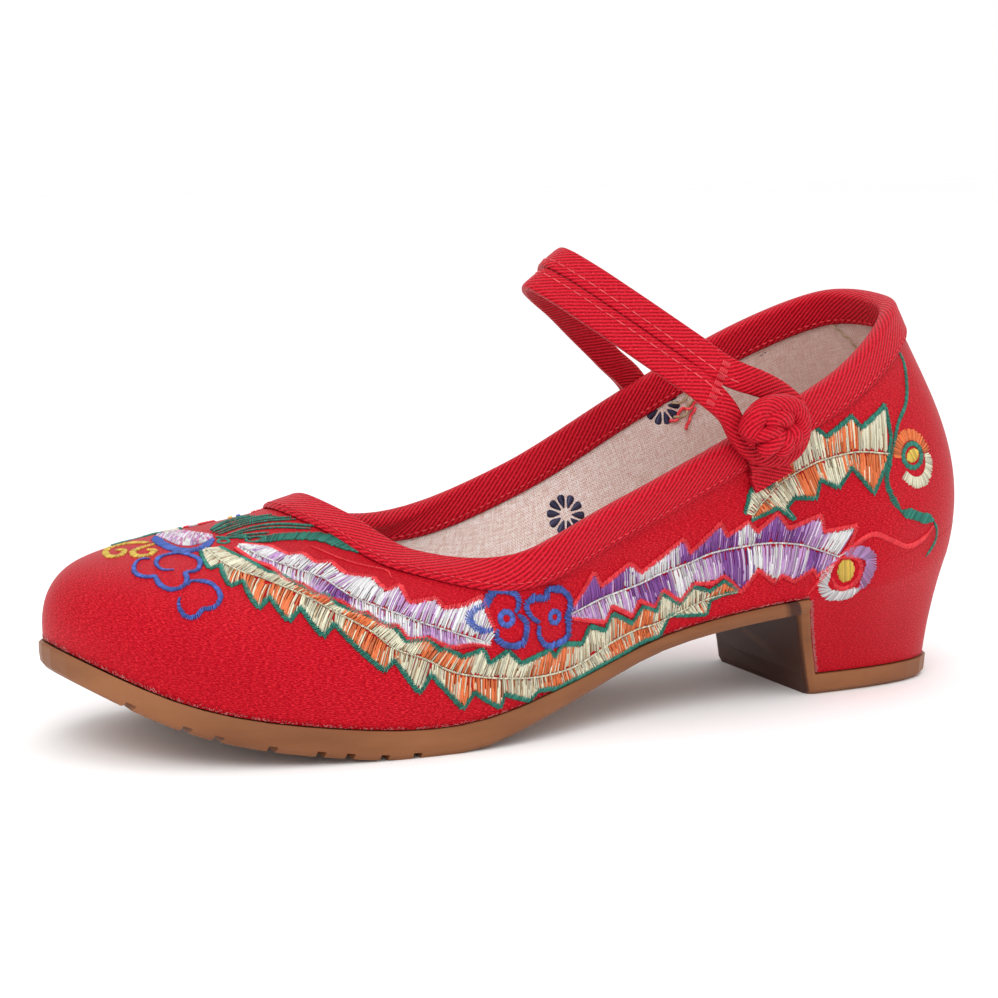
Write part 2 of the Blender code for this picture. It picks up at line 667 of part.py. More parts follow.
def strap_path():
    """Centre line of the tape with its width's direction, and its width and thickness."""
    base, toeward, up, out = knot_frame()
    stack_gap = TAPE_THICKNESS + CLEARANCE
    seat = CLEARANCE + BINDING_TAPE + STRAP_GAP + TAPE_THICKNESS / 2
    rim = collar_points(STRAP_PLACE)
    away = wall_normals(STRAP_PLACE, 1.0)
    inner_end = rim + away * (seat + stack_gap / 2)
    tab_top = 2 * CLEARANCE + BINDING_SLACK + BINDING_TAPE + TAB_THICKNESS
    loop_height = tab_top + CLEARANCE + LOOP_THICKNESS / 2
    outer_end = base + out * loop_height
    forward = np.array([math.cos(STRAP_LEAN), 0, math.sin(STRAP_LEAN)])
    arch_side = np.array([-math.sin(TAPE_LEAN), 0, math.cos(TAPE_LEAN)])
    middle = np.array([inner_end + (outer_end - inner_end) * row.across
                       + forward * STRAP_REACH * row.reach for row in ARCH])
    heading = unit(np.gradient(middle, axis=0))
    face = unit(np.cross(heading, arch_side))
    spread = np.array([row.spread for row in ARCH])[:, None]
    stack = np.array([row.stack for row in ARCH])[:, None]
    shift = arch_side * spread * TAPE_SPACING / 2 + face * stack * stack_gap / 2
    tail = below_collar([STRAP_PLACE], STRAP_TAIL)
    tail_point = wall_points(*tail)[0]
    tail_away = wall_normals(*tail)[0]
    tails = [tail_point + tail_away * seat, tail_point + tail_away * (seat + stack_gap)]
    loop = np.array([outer_end + LOOP_RADIUS * (row.toeward * toeward + row.up * up)
                     for row in LOOP])
    points = np.vstack([tails[0], middle - shift, loop, (middle + shift)[::-1], tails[1]])
    loop_heading = unit(np.gradient(loop, axis=0))
    loop_side = unit(np.cross(out, loop_heading))
    arch_sides = np.tile(arch_side, (len(ARCH) + 1, 1))
    sides = np.vstack([arch_sides, loop_side, -arch_sides])
    full = np.ones(len(ARCH) + 1)
    wide = np.concatenate([full, [row.wide for row in LOOP], full])
    return points, sides, wide


def make_strap(group, material):
    points, sides, wide = strap_path()
    run = lengths_along(points)
    count = int(round(run[-1] / TAPE_STEP))
    at = np.linspace(0, run[-1], count)
    line = through(run, points, at)
    heading = unit(np.gradient(line, axis=0))
    side = through(run, sides, at)
    side = unit(side - heading * np.sum(side * heading, axis=1)[:, None])
    face = np.cross(heading, side)
    share = np.clip(through(run, wide, at), 0, 1)
    half_width = (LOOP_WIDTH + (TAPE_WIDTH - LOOP_WIDTH) * share) / 2
    half_depth = (LOOP_THICKNESS + (TAPE_THICKNESS - LOOP_THICKNESS) * share) / 2
    upper = ((1, TAPE_EDGE), (TAPE_FLAT, 1), (-TAPE_FLAT, 1), (-1, TAPE_EDGE))
    outline = upper + tuple((-wide_share, -deep_share) for wide_share, deep_share in upper)
    sections = []
    for i in range(count):
        wide_way = side[i] * half_width[i]
        deep_way = face[i] * half_depth[i]
        sections.append([line[i] + a * wide_way + b * deep_way for a, b in outline])
    return add_object("instep_strap", tube("instep_strap", sections, False), group, material)


def make_tab(group, material):
    """Twill tab over the binding that carries the knot, following the upper."""
    over = 2 * CLEARANCE + BINDING_SLACK + BINDING_TAPE
    places = TAB_PLACE + TAB_SPAN * np.linspace(-0.5, 0.5, TAB_COLUMNS)
    data = bmesh.new()
    rows = []
    for distance, height in (
        (TAB_TOP, over),
        (BINDING_WIDTH / 2, over),
        (BINDING_WIDTH + CLEARANCE, over),
        (BINDING_WIDTH + TAB_STEP, CLEARANCE),
        (TAB_END, CLEARANCE),
    ):
        spots = below_collar(places, distance)
        line = wall_points(*spots) + wall_normals(*spots) * height
        rows.append([data.verts.new(point) for point in line])
    for upper, lower in zip(rows, rows[1:]):
        for k in range(len(upper) - 1):
            data.faces.new((lower[k], lower[k + 1], upper[k + 1], upper[k]))
    tab = add_object("button_tab", finish(data, "button_tab"), group, material)
    shell = tab.modifiers.new("Tape", "SOLIDIFY")
    shell.thickness = TAB_THICKNESS
    shell.offset = 1
    return tab


def blob(group, name, centre, size, material=None):
    """Rounded lump with the given half widths."""
    data = bmesh.new()
    bmesh.ops.create_uvsphere(data, u_segments=CORD_STEPS, v_segments=CORD_SIDES, radius=1)
    bmesh.ops.transform(data, verts=data.verts, matrix=centre @ Matrix.Diagonal((*size, 1)))
    return add_object(name, finish(data, name), group, material)


def make_knot(group, cutters, material):
    """Knotted cord button: a ring of cord round a core, with a bead on top and a neck."""
    base, toeward, up, out = knot_frame()
    frame = Matrix(np.column_stack([toeward, up, out]).tolist()).to_4x4()
    middle = base + toeward * KNOT_TOEWARD + up * KNOT_UP + out * KNOT_HEIGHT
    centre = Matrix.Translation(Vector(middle)) @ frame
    core = (KNOT_RING, KNOT_RING * KNOT_OVAL, KNOT_CORD * KNOT_CORE)
    knot = blob(group, "knot_button", centre, core, material)
    ring = [(math.cos(a) * KNOT_RING, math.sin(a) * KNOT_RING * KNOT_OVAL)
            for a in np.linspace(0, 2 * math.pi, CORD_STEPS, endpoint=False)]
    sections = []
    for x, y in ring:
        way = Vector((x, y, 0)).normalized()
        section = []
        for b in np.linspace(0, 2 * math.pi, CORD_SIDES, endpoint=False):
            spot = Vector((x, y, 0)) + way * KNOT_CORD * math.cos(b)
            spot.z += KNOT_CORD * math.sin(b)
            section.append(centre @ spot)
        sections.append(section)
    combine(knot, add_object("knot_ring", tube("knot_ring", sections, True), cutters), "UNION")
    bead = centre @ Matrix.Translation(Vector(BEAD_PLACE) * KNOT_RING)
    combine(knot, blob(cutters, "knot_bead", bead, Vector(BEAD_SIZE) * KNOT_CORD), "UNION")
    neck_start = 3 * CLEARANCE + BINDING_SLACK + BINDING_TAPE + TAB_THICKNESS
    length = KNOT_HEIGHT - neck_start
    middle = centre @ Matrix.Translation((0, 0, -length / 2))
    data = bmesh.new()
    bmesh.ops.create_cone(data, cap_ends=True, segments=NECK_SIDES, radius1=KNOT_NECK,
                          radius2=KNOT_NECK, depth=length, matrix=middle)
    combine(knot, add_object("knot_neck", finish(data, "knot_neck"), cutters), "UNION")
    return knot


def main():
    for thing in list(bpy.data.objects):
        bpy.data.objects.remove(thing, do_unlink=True)
    shoe = collection("cloth_shoe")
    cutters = collection("cutters")
    rubber = make_material("tan_rubber", (0.36, 0.19, 0.08), 0.5)
    satin = make_material("red_satin", (0.62, 0.01, 0.02), 0.35)
    twill = make_material("red_twill", (0.66, 0.01, 0.03), 0.6)
    linen = make_material("beige_linen", (0.66, 0.48, 0.36), 0.9)
    make_outsole(shoe, cutters, rubber)
    make_insole(shoe, linen)
    make_upper(shoe, satin)
    make_binding(shoe, twill)
    make_strap(shoe, twill)
    make_tab(shoe, twill)
    make_knot(shoe, cutters, twill)


main()
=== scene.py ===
"""Looks of the left embroidered cloth shoe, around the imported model."""

import math
from collections import namedtuple

import bmesh
import bpy
import numpy as np
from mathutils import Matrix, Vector


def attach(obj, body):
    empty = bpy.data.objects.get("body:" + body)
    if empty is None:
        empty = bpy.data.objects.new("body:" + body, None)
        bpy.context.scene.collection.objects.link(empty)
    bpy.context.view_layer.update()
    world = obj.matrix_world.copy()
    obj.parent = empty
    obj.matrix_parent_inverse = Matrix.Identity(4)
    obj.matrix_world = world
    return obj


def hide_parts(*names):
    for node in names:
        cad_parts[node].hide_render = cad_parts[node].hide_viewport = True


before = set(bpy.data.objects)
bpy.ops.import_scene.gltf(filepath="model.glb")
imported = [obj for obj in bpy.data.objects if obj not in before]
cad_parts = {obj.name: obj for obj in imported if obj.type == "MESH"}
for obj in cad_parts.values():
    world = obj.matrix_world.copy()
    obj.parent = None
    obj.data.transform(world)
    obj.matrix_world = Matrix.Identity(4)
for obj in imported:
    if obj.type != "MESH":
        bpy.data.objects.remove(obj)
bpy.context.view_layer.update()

MM = 0.001

# Sizes shared with the solid model
SHOE_LENGTH = 234 * MM
BALL_WIDTH = 77 * MM
COLLAR_HEIGHT = 95.5 * MM
HEEL_LIFT = 27 * MM
TOE_SPRING = 19 * MM
CLEARANCE = 0.3 * MM
BALL_THICKNESS = 6.4 * MM
HEEL_LENGTH = 41.3 * MM
HEEL_UNDERCUT = 8.2 * MM
BASE_OUTER = 23.3 * MM
BASE_INNER = 20.7 * MM
TOP_PIECE = 5.6 * MM
BREAST_RIM = 3.0 * MM
BREAST_LEAN = (2.4 * MM, 7.6 * MM)
HEEL_WAIST = 1.0 * MM
BACK_ROUNDNESS = 0.8
SIDE_ROUNDNESS = 0.45
UPPER_WALL = 2.0 * MM
BINDING_WIDTH = 7.5 * MM
BINDING_TAPE = 0.9 * MM
BINDING_SLACK = 0.2 * MM
INSOLE_THICKNESS = 2.5 * MM
INSOLE_GAP = 0.5 * MM
TAPE_WIDTH = 6.9 * MM
TAPE_THICKNESS = 2.0 * MM
TAPE_SPACING = 7.2 * MM
LOOP_WIDTH = 5.0 * MM
LOOP_THICKNESS = 2.6 * MM
LOOP_RADIUS = 8.0 * MM
STRAP_REACH = 56.4 * MM
STRAP_LEAN = math.radians(39)
TAPE_LEAN = math.radians(54)
STRAP_TAIL = 10 * MM
STRAP_GAP = 1.1 * MM
TAB_THICKNESS = 1.0 * MM
TAB_TOP = 1.0 * MM
TAB_END = 13.7 * MM
TAB_STEP = 2.0 * MM
TAB_SPAN = 0.32
KNOT_DROP = 0.6 * MM
KNOT_HEIGHT = 9.0 * MM
KNOT_TOEWARD = 3.0 * MM
KNOT_UP = 1.2 * MM
KNOT_PLACE = 2.85
STRAP_STEP = 0.8 * MM
TAPE_SQUARENESS = 0.42
CORD_SQUARENESS = 0.8
TAB_PLACE = 2.93
STRAP_PLACE = 13.18

# Places round the shoe: 0 is the back, 1 to 7 the outer side, 8 the toe, 9 to 15 the inner side.
# foot is the feather line and top the collar edge, as shares of length, ball width and collar
# height. The wall leaves the foot with rise and flare, and meets the top from reach and drop.
Row = namedtuple("Row", "foot_x foot_y top_x top_y top_z rise flare reach drop")
ROWS = (
    Row(0.000, 0.004, 0.069, -0.016, 1.000, 0.262, 0.077, 0.50, 0.205),
    Row(0.033, 0.274, 0.098, 0.213, 0.968, 0.266, 0.078, 0.52, 0.197),
    Row(0.125, 0.396, 0.183, 0.349, 0.840, 0.230, 0.065, 0.50, 0.210),
    Row(0.236, 0.396, 0.313, 0.410, 0.700, 0.188, 0.039, 0.50, 0.167),
    Row(0.404, 0.379, 0.452, 0.451, 0.559, 0.167, 0.039, 0.60, 0.146),
    Row(0.603, 0.503, 0.575, 0.438, 0.445, 0.188, 0.052, 0.70, 0.083),
    Row(0.800, 0.462, 0.660, 0.290, 0.449, 0.230, 0.052, 0.65, 0.063),
    Row(0.936, 0.284, 0.707, 0.130, 0.524, 0.273, 0.054, 0.65, 0.106),
    Row(1.000, -0.039, 0.731, -0.047, 0.558, 0.266, 0.030, 0.58, 0.135),
    Row(0.946, -0.339, 0.723, -0.206, 0.530, 0.278, 0.047, 0.65, 0.092),
    Row(0.843, -0.469, 0.668, -0.329, 0.469, 0.229, 0.052, 0.63, 0.075),
    Row(0.707, -0.494, 0.576, -0.427, 0.455, 0.188, 0.048, 0.58, 0.120),
    Row(0.455, -0.313, 0.448, -0.427, 0.553, 0.167, 0.039, 0.60, 0.146),
    Row(0.273, -0.326, 0.315, -0.405, 0.730, 0.188, 0.039, 0.50, 0.167),
    Row(0.153, -0.352, 0.189, -0.361, 0.892, 0.230, 0.065, 0.50, 0.210),
    Row(0.048, -0.261, 0.094, -0.252, 0.990, 0.262, 0.078, 0.50, 0.209),
)

# Side view of the feather line: shares of HEEL_LIFT and TOE_SPRING above the ball
Side = namedtuple("Side", "along heel toe")
SIDES = (
    Side(0.000, 1.000, 0.00),
    Side(0.155, 0.770, 0.00),
    Side(0.270, 0.694, 0.00),
    Side(0.390, 0.522, 0.00),
    Side(0.520, 0.226, 0.00),
    Side(0.640, 0.015, 0.00),
    Side(0.775, 0.000, 0.12),
    Side(0.905, 0.000, 0.46),
    Side(1.000, 0.000, 1.00),
)

# The strap's arch and the loop round the knot, as in the solid model
Arch = namedtuple("Arch", "across reach spread stack")
ARCH = (
    Arch(0.000, 0.000, 0.00, 1.00),
    Arch(0.070, 0.240, 0.05, 1.00),
    Arch(0.150, 0.480, 0.15, 1.00),
    Arch(0.270, 0.720, 0.40, 1.00),
    Arch(0.380, 0.890, 0.80, 1.00),
    Arch(0.460, 0.965, 1.00, 0.80),
    Arch(0.540, 1.000, 1.00, 0.20),
    Arch(0.655, 0.914, 1.00, 0.00),
    Arch(0.740, 0.785, 1.00, 0.00),
    Arch(0.905, 0.490, 1.00, 0.00),
    Arch(0.985, 0.340, 1.00, 0.00),
)
Loop = namedtuple("Loop", "toeward up wide")
LOOP = (
    Loop(1.60, 0.56, 0.4),
    Loop(1.30, 0.00, 0.1),
    Loop(0.95, -0.42, 0.0),
    Loop(0.45, -0.72, 0.0),
    Loop(-0.10, -0.80, 0.0),
    Loop(-0.58, -0.70, 0.0),
    Loop(-0.92, -0.38, 0.0),
    Loop(-1.02, 0.10, 0.0),
    Loop(-0.85, 0.58, 0.1),
    Loop(-0.35, 1.00, 0.3),
    Loop(0.26, 1.30, 0.6),
)

# Soft folds of the satin, from one place and level to another. Height is out of the shoe.
Fold = namedtuple("Fold", "place level to_place to_level width height")
FOLDS = (
    Fold(4.75, 0.72, 4.15, 0.66, 2.6 * MM, -0.55 * MM),
    Fold(4.60, 0.80, 3.75, 0.68, 3.0 * MM, 0.50 * MM),
    Fold(4.30, 0.80, 3.50, 0.74, 2.4 * MM, -0.50 * MM),
    Fold(3.65, 0.66, 3.20, 0.62, 2.8 * MM, 0.40 * MM),
    Fold(2.95, 0.02, 2.80, 0.17, 1.6 * MM, -0.60 * MM),
    Fold(2.60, 0.42, 1.90, 0.40, 3.2 * MM, 0.35 * MM),
    Fold(2.45, 0.34, 1.80, 0.31, 2.4 * MM, -0.35 * MM),
    Fold(3.20, 0.80, 3.02, 0.70, 1.3 * MM, -0.70 * MM),
    Fold(2.95, 0.64, 3.30, 0.72, 1.6 * MM, 0.45 * MM),
    Fold(12.60, 0.72, 11.70, 0.66, 2.8 * MM, -0.45 * MM),
    Fold(12.40, 0.80, 11.50, 0.74, 2.8 * MM, 0.45 * MM),
    Fold(13.05, 0.02, 13.20, 0.20, 1.6 * MM, -0.50 * MM),
    Fold(7.20, 0.30, 8.60, 0.28, 5.0 * MM, 0.25 * MM),
)

# Camera, fitted to the photograph. Lens and sensor are in millimetres.
CAMERA_TARGET = Vector((93.72, -0.45, 50.55)) * MM
CAMERA_BACK = Vector((0.4226, 0.8928, 0.1559))
CAMERA_DISTANCE = 626.97 * MM
CAMERA_LENS = 94.0
CAMERA_SENSOR = 36.0

NUDGE = 0.01                # step in place or level that a slope is taken over
BREAST_X = HEEL_LENGTH / 2
BACK_X = -HEEL_LENGTH / 2 - HEEL_UNDERCUT
COVER_X = BREAST_X - BREAST_RIM - CLEARANCE
LINING_DEPTH = 1.0 * MM     # from the satin's face to the lining
OVERLAP = 0.05 * MM         # how far satin and lining pass into each other
COVER_LIFT = 0.04 * MM      # the heel's cover above the wall that it overlaps
BINDING_LIFT = CLEARANCE + BINDING_SLACK + BINDING_TAPE
SEAM_INSET = 1.35 * MM      # from the binding's lower edge to its stitches
SHARP = math.radians(50)

# Counts of rows and columns in the meshes
AROUND = 352
LEVELS = 40
COVER_COLUMNS = 120
COVER_ROWS = 28
COVER_OVERLAP = (0.10, 0.075, 0.05, 0.025)      # levels of the wall under the cover's top rows
BINDING_COLUMNS = 640
TAPE_SIDES = 28


# Curves


def periodic(values, places):
    """Points of a smooth closed curve through one value for each whole place."""
    values = np.asarray(values, float)
    places = np.asarray(places, float)
    first = np.floor(places).astype(int)
    t = (places - first)[..., None]
    p0, p1, p2, p3 = (values[(first + k) % len(values)] for k in (-1, 0, 1, 2))
    bend = 2 * p0 - 5 * p1 + 4 * p2 - p3
    twist = 3 * p1 - p0 - 3 * p2 + p3
    return 0.5 * (2 * p1 + (p2 - p0) * t + bend * t**2 + twist * t**3)


def through(knots, values, at):
    """Points of a smooth open curve that has the given values at its knots."""
    knots = np.asarray(knots, float)
    values = np.asarray(values, float)
    slopes = np.gradient(values, knots, axis=0)
    at = np.clip(at, knots[0], knots[-1])
    i = np.clip(np.searchsorted(knots, at, "right") - 1, 0, len(knots) - 2)
    gap = knots[i + 1] - knots[i]
    t = (at - knots[i]) / gap
    if values.ndim > 1:
        t = t[..., None]
        gap = gap[..., None]
    start = (2 * t**3 - 3 * t**2 + 1) * values[i] + (t**3 - 2 * t**2 + t) * gap * slopes[i]
    end = (3 * t**2 - 2 * t**3) * values[i + 1] + (t**3 - t**2) * gap * slopes[i + 1]
    return start + end


def lengths_along(points):
    steps = np.linalg.norm(np.diff(points, axis=0), axis=1)
    return np.concatenate([[0.0], np.cumsum(steps)])


def sampled(at, run, table):
    """Rows of a table at given lengths along the run."""
    return np.stack([np.interp(at, run, column) for column in table.T], -1)


def unit(vectors):
    return vectors / np.linalg.norm(vectors, axis=-1, keepdims=True)


def smooth_line(points, step):
    """Points a step apart on a smooth curve through the given ones."""
    points = np.asarray(points, float)
    run = lengths_along(points)
    count = max(int(round(run[-1] / step)), 2)
    return through(run, points, np.linspace(0, run[-1], count + 1))


# The shoe's form


def side_view(x, column):
    knots = [side.along for side in SIDES]
    values = [getattr(side, column) for side in SIDES]
    return through(knots, values, (x - BACK_X) / SHOE_LENGTH)


def feather_height(x):
    return BALL_THICKNESS + HEEL_LIFT * side_view(x, "heel") + TOE_SPRING * side_view(x, "toe")


def foot_points(places):
    shares = periodic([(row.foot_x, row.foot_y) for row in ROWS], places)
    return shares * (SHOE_LENGTH, BALL_WIDTH) + (BACK_X, 0)


def foot_outward(places):
    ahead = unit(foot_points(places + NUDGE) - foot_points(places - NUDGE))
    return np.stack([-ahead[..., 1], ahead[..., 0]], -1)


def raised(flat, height):
    return np.concatenate([flat, np.reshape(height, flat.shape[:-1] + (1,))], -1)


def collar_points(places):
    top = periodic([(row.top_x, row.top_y, row.top_z) for row in ROWS], places)
    return top * (SHOE_LENGTH, BALL_WIDTH, COLLAR_HEIGHT) + (BACK_X, 0, 0)


def collar_direction(places):
    return unit(collar_points(places + NUDGE) - collar_points(places - NUDGE))


def pair(places, levels):
    return np.broadcast_arrays(np.asarray(places, float), np.asarray(levels, float))


def wall_points(places, levels):
    places, levels = pair(places, levels)
    foot = foot_points(places)
    foot = raised(foot, feather_height(foot[..., 0]))
    top = collar_points(places)
    bend = periodic([(row.rise, row.flare, row.reach, row.drop) for row in ROWS], places)
    rise, flare, reach, drop = np.moveaxis(bend, -1, 0)[..., None]
    low = foot + raised(foot_outward(places) * flare * BALL_WIDTH, rise * COLLAR_HEIGHT)
    high = top + raised((foot - top)[..., :2] * reach, -drop * COLLAR_HEIGHT)
    t = levels[..., None]
    return (1 - t)**3 * foot + 3 * (1 - t)**2 * t * low + 3 * (1 - t) * t**2 * high + t**3 * top


def wall_slopes(places, levels):
    ahead, behind = places + NUDGE, places - NUDGE
    around = (wall_points(ahead, levels) - wall_points(behind, levels)) / (2 * NUDGE)
    above = np.minimum(levels + NUDGE, 1)
    below = np.maximum(levels - NUDGE, 0)
    climb = (wall_points(places, above) - wall_points(places, below)) / (above - below)[..., None]
    return around, climb


def wall_normals(places, levels):
    around, climb = wall_slopes(*pair(places, levels))
    return unit(np.cross(climb, around))


def stepped(places, levels, slopes, way):
    """Places and levels after a small way in space, from the wall's slopes there."""
    around, climb = slopes
    aa, ac, cc = (np.sum(a * b, -1) for a, b in
                  ((around, around), (around, climb), (climb, climb)))
    da, dc = np.sum(around * way, -1), np.sum(climb * way, -1)
    spread = aa * cc - ac**2
    return places + (da * cc - dc * ac) / spread, levels + (dc * aa - da * ac) / spread


def below_collar(places, distance, steps=8):
    """Places and levels at a distance down the wall, square to the collar edge."""
    places, distance = pair(places, distance)
    places = places.copy()
    levels = np.ones_like(places)
    edge = collar_direction(places)
    for _ in range(steps):
        around, climb = wall_slopes(places, levels)
        down = unit(np.cross(unit(np.cross(climb, around)), edge)) * distance[..., None] / steps
        places, levels = stepped(places, levels, (around, climb), down)
    return places, levels


def furthest(near, pick):
    places = np.linspace(near - 1, near + 1, 401)
    return places[pick(foot_points(places)[:, 0])]


BACK_PLACE = furthest(0, np.argmin)


def cover_places():
    """Places at the heel's cover, inner front edge round the back to the outer front edge."""
    dense = np.linspace(-5, 5, 2001)
    xs = foot_points(dense)[:, 0]
    inner = dense[(dense < BACK_PLACE) & (xs <= COVER_X + BREAST_LEAN[0])].min()
    outer = dense[(dense > BACK_PLACE) & (xs <= COVER_X + BREAST_LEAN[1])].max()
    return inner, outer


COVER_FROM, COVER_TO = cover_places()


def half_base(half_width, shares):
    """Points of one side of the heel's base, from the back to the cover's front edge."""
    turn = np.linspace(math.pi / 2, 0.0, 400)
    along = BREAST_X - HEEL_LENGTH * np.sin(turn)**BACK_ROUNDNESS
    line = np.column_stack([along, half_width * np.cos(turn)**SIDE_ROUNDNESS])
    line = line[line[:, 0] <= COVER_X]
    line = np.vstack([line, (COVER_X, line[-1, 1])])
    run = lengths_along(line)
    return sampled(shares * run[-1], run, line)


def cover_points(places, depths):
    """Cloth over the heel: depth 0 is the feather line and 1 the cover's bottom edge."""
    places, depths = pair(places, depths)
    flat = places.ravel()
    base = np.zeros((flat.size, 2))
    for sign, end, width in ((-1, COVER_FROM, -BASE_INNER), (1, COVER_TO, BASE_OUTER)):
        side = sign * (flat - BACK_PLACE) >= 0
        fine = np.linspace(BACK_PLACE, end, 400)
        run = lengths_along(foot_points(fine))
        order = slice(None, None, sign)
        shares = np.interp(flat[side], fine[order], (run / run[-1])[order])
        base[side] = half_base(width, np.clip(shares, 0, 1))
    base = base.reshape(places.shape + (2,))
    feather = foot_points(places)
    top = feather_height(feather[..., 0])
    height = top + (TOP_PIECE - top) * depths
    share = (height / top)[..., None]
    line = base + (feather - base) * share
    line = line - foot_outward(places) * HEEL_WAIST * 4 * share * (1 - share)
    return raised(line, height)


def fold_heights(points):
    """How far the satin's soft folds lift each point."""
    total = np.zeros(points.shape[:-1])
    for fold in FOLDS:
        start = wall_points(fold.place, fold.level)
        end = wall_points(fold.to_place, fold.to_level)
        way = end - start
        share = np.clip(np.sum((points - start) * way, -1) / np.dot(way, way), -0.3, 1.3)
        gap = np.linalg.norm(points - start - share[..., None] * way, axis=-1)
        middle = np.exp(-((share - 0.5) / 0.55)**4)
        total += fold.height * middle * np.exp(-(gap / fold.width)**2)
    return total


def skin(places, levels, lift=0.0):
    """Points a little above the satin. Levels below 0 are on the heel's cover, down to -1."""
    places, levels = pair(places, levels)
    wall = wall_points(places, np.maximum(levels, 0))
    normal = wall_normals(places, np.maximum(levels, 0))
    low = levels < 0
    if low.any():
        spots, depths = places[low], -levels[low]
        wall[low] = cover_points(spots, depths)
        normal[low] = raised(foot_outward(spots), np.zeros(spots.shape))
    lifted = np.asarray(lift + fold_heights(wall))
    return wall + normal * lifted[..., None], normal


# Materials

SATIN_SHADE = (0.25, 0.0005, 0.005)
SATIN_RED = (0.54, 0.0025, 0.014)
SATIN_LIGHT = (0.84, 0.030, 0.045)
SATIN_CLOUD = (0.24, 0.0006, 0.006)
# The darkest twill and cord reds are painted shade in the rib grooves, and the crest red is a painted
# highlight on the ribs
TWILL_GROOVE_SHADE = (0.23, 0.0008, 0.006)
TWILL_RED = (0.52, 0.003, 0.016)
TWILL_CREST_HIGHLIGHT = (0.76, 0.022, 0.040)
# Lighter yarn streaks: partly the yarn's own tone, partly a painted highlight
TWILL_YARN_HIGHLIGHT = (0.86, 0.055, 0.075)
CORD_GROOVE_SHADE = (0.25, 0.0008, 0.006)
CORD_RED = (0.53, 0.003, 0.018)
LINEN_SHADE = (0.80, 0.62, 0.55)
LINEN_LIGHT = (1.0, 0.95, 0.90)
# Darker, browner linen towards the back: partly painted shade inside the heel, partly red thread
# showing through
LINEN_BACK_SHADE_AND_TINT = (0.50, 0.27, 0.20)
LINEN_HOLE = (0.48, 0.16, 0.14)
RUBBER_DARK = (0.17, 0.058, 0.020)
RUBBER_LIGHT = (0.29, 0.112, 0.043)
# Painted shade on the heel's leaning front wall
RUBBER_FRONT_SHADE = (0.040, 0.010, 0.006)
RUBBER_DUST = (0.16, 0.08, 0.04)
FLOOR_WHITE = (0.985, 0.985, 0.985, 1)
THREAD_TWIST = 0.55 * MM    # pitch of the twill's yarn
WEAVE_PITCH = 0.78 * MM     # between the linen's holes
BACK_SHADE = 0.06           # metres before the heel's middle where the linen starts to darken: painted shade inside the heel, partly red thread showing through
BREAST_EDGE = (0.9 * MM, 0.3 * MM)      # the painted shade on the heel's front wall fades in behind it and out ahead of it, under the sole
BREAST_END = (4 * MM, 2 * MM)           # and out ahead of it, under the sole


class Graph:
    """A material's nodes, with short ways to add and join them."""

    def __init__(self, name, roughness=0.6):
        self.material = bpy.data.materials.new(name)
        self.material.use_nodes = True
        self.nodes = self.material.node_tree.nodes
        self.shader = self.nodes["Principled BSDF"]
        self.shader.inputs["Roughness"].default_value = roughness

    def put(self, socket, value):
        if isinstance(value, bpy.types.NodeSocket):
            self.material.node_tree.links.new(value, socket)
        else:
            socket.default_value = value

    def set(self, **values):
        for name, value in values.items():
            self.put(self.shader.inputs[name.replace("_", " ")], value)

    def node(self, kind, inputs=(), **settings):
        node = self.nodes.new(kind)
        for name, value in settings.items():
            setattr(node, name, value)
        for key, value in dict(inputs).items():
            self.put(node.inputs[key], value)
        return node

    def math(self, operation, first, second=0.0, third=0.0):
        node = self.node("ShaderNodeMath", {0: first, 1: second, 2: third}, operation=operation)
        return node.outputs[0]

    def coordinates(self, kind, scale=(1, 1, 1), turn=0.0):
        source = self.node("ShaderNodeTexCoord").outputs[kind]
        inputs = {"Vector": source, "Scale": scale, "Rotation": (0, 0, turn)}
        return self.node("ShaderNodeMapping", inputs).outputs[0]

    def noise(self, vector, scale, detail=2.0):
        inputs = {"Vector": vector, "Scale": scale, "Detail": detail}
        return self.node("ShaderNodeTexNoise", inputs).outputs["Fac"]

    def span(self, value, low, high, start=0.0, end=1.0):
        inputs = {"Value": value, "From Min": low, "From Max": high, "To Min": start, "To Max": end}
        return self.node("ShaderNodeMapRange", inputs).outputs[0]

    def mix(self, share, first, second):
        node = self.node("ShaderNodeMix", data_type="RGBA")
        self.put(node.inputs["Factor"], share)
        for socket, value in ((6, first), (7, second)):
            self.put(node.inputs[socket], (*value, 1.0) if isinstance(value, tuple) else value)
        return node.outputs[2]

    def bump(self, height, distance, strength):
        inputs = {"Height": height, "Distance": distance, "Strength": strength}
        return self.node("ShaderNodeBump", inputs).outputs[0]


def satin():
    """Red satin with fine grain, lighter slubs and a faint cloud of shade."""
    g = Graph("satin_red", 0.5)
    threads = g.noise(g.coordinates("UV", (2200, 5200, 1)), 1.0, 1.0)
    slubs = g.noise(g.coordinates("UV", (1300, 4600, 1)), 1.0, 1.0)
    cloud = g.noise(g.coordinates("Object", (34, 34, 34)), 1.0, 3.0)
    colour = g.mix(g.span(threads, 0.35, 0.68), SATIN_SHADE, SATIN_RED)
    colour = g.mix(g.span(slubs, 0.48, 0.66, 0.0, 0.60), colour, SATIN_LIGHT)
    colour = g.mix(g.span(cloud, 0.35, 0.75, 0.0, 0.25), colour, SATIN_CLOUD)
    g.set(Base_Color=colour, Normal=g.bump(threads, 0.00016, 0.9))
    g.set(Roughness=g.span(threads, 0.3, 0.7, 0.56, 0.38))
    g.set(Sheen_Weight=0.02, Sheen_Roughness=0.35, Sheen_Tint=(1.0, 0.20, 0.22, 1.0))
    g.set(Specular_Tint=(1.0, 0.14, 0.16, 1.0), Specular_IOR_Level=0.32, Anisotropic=0.3)
    return g.material


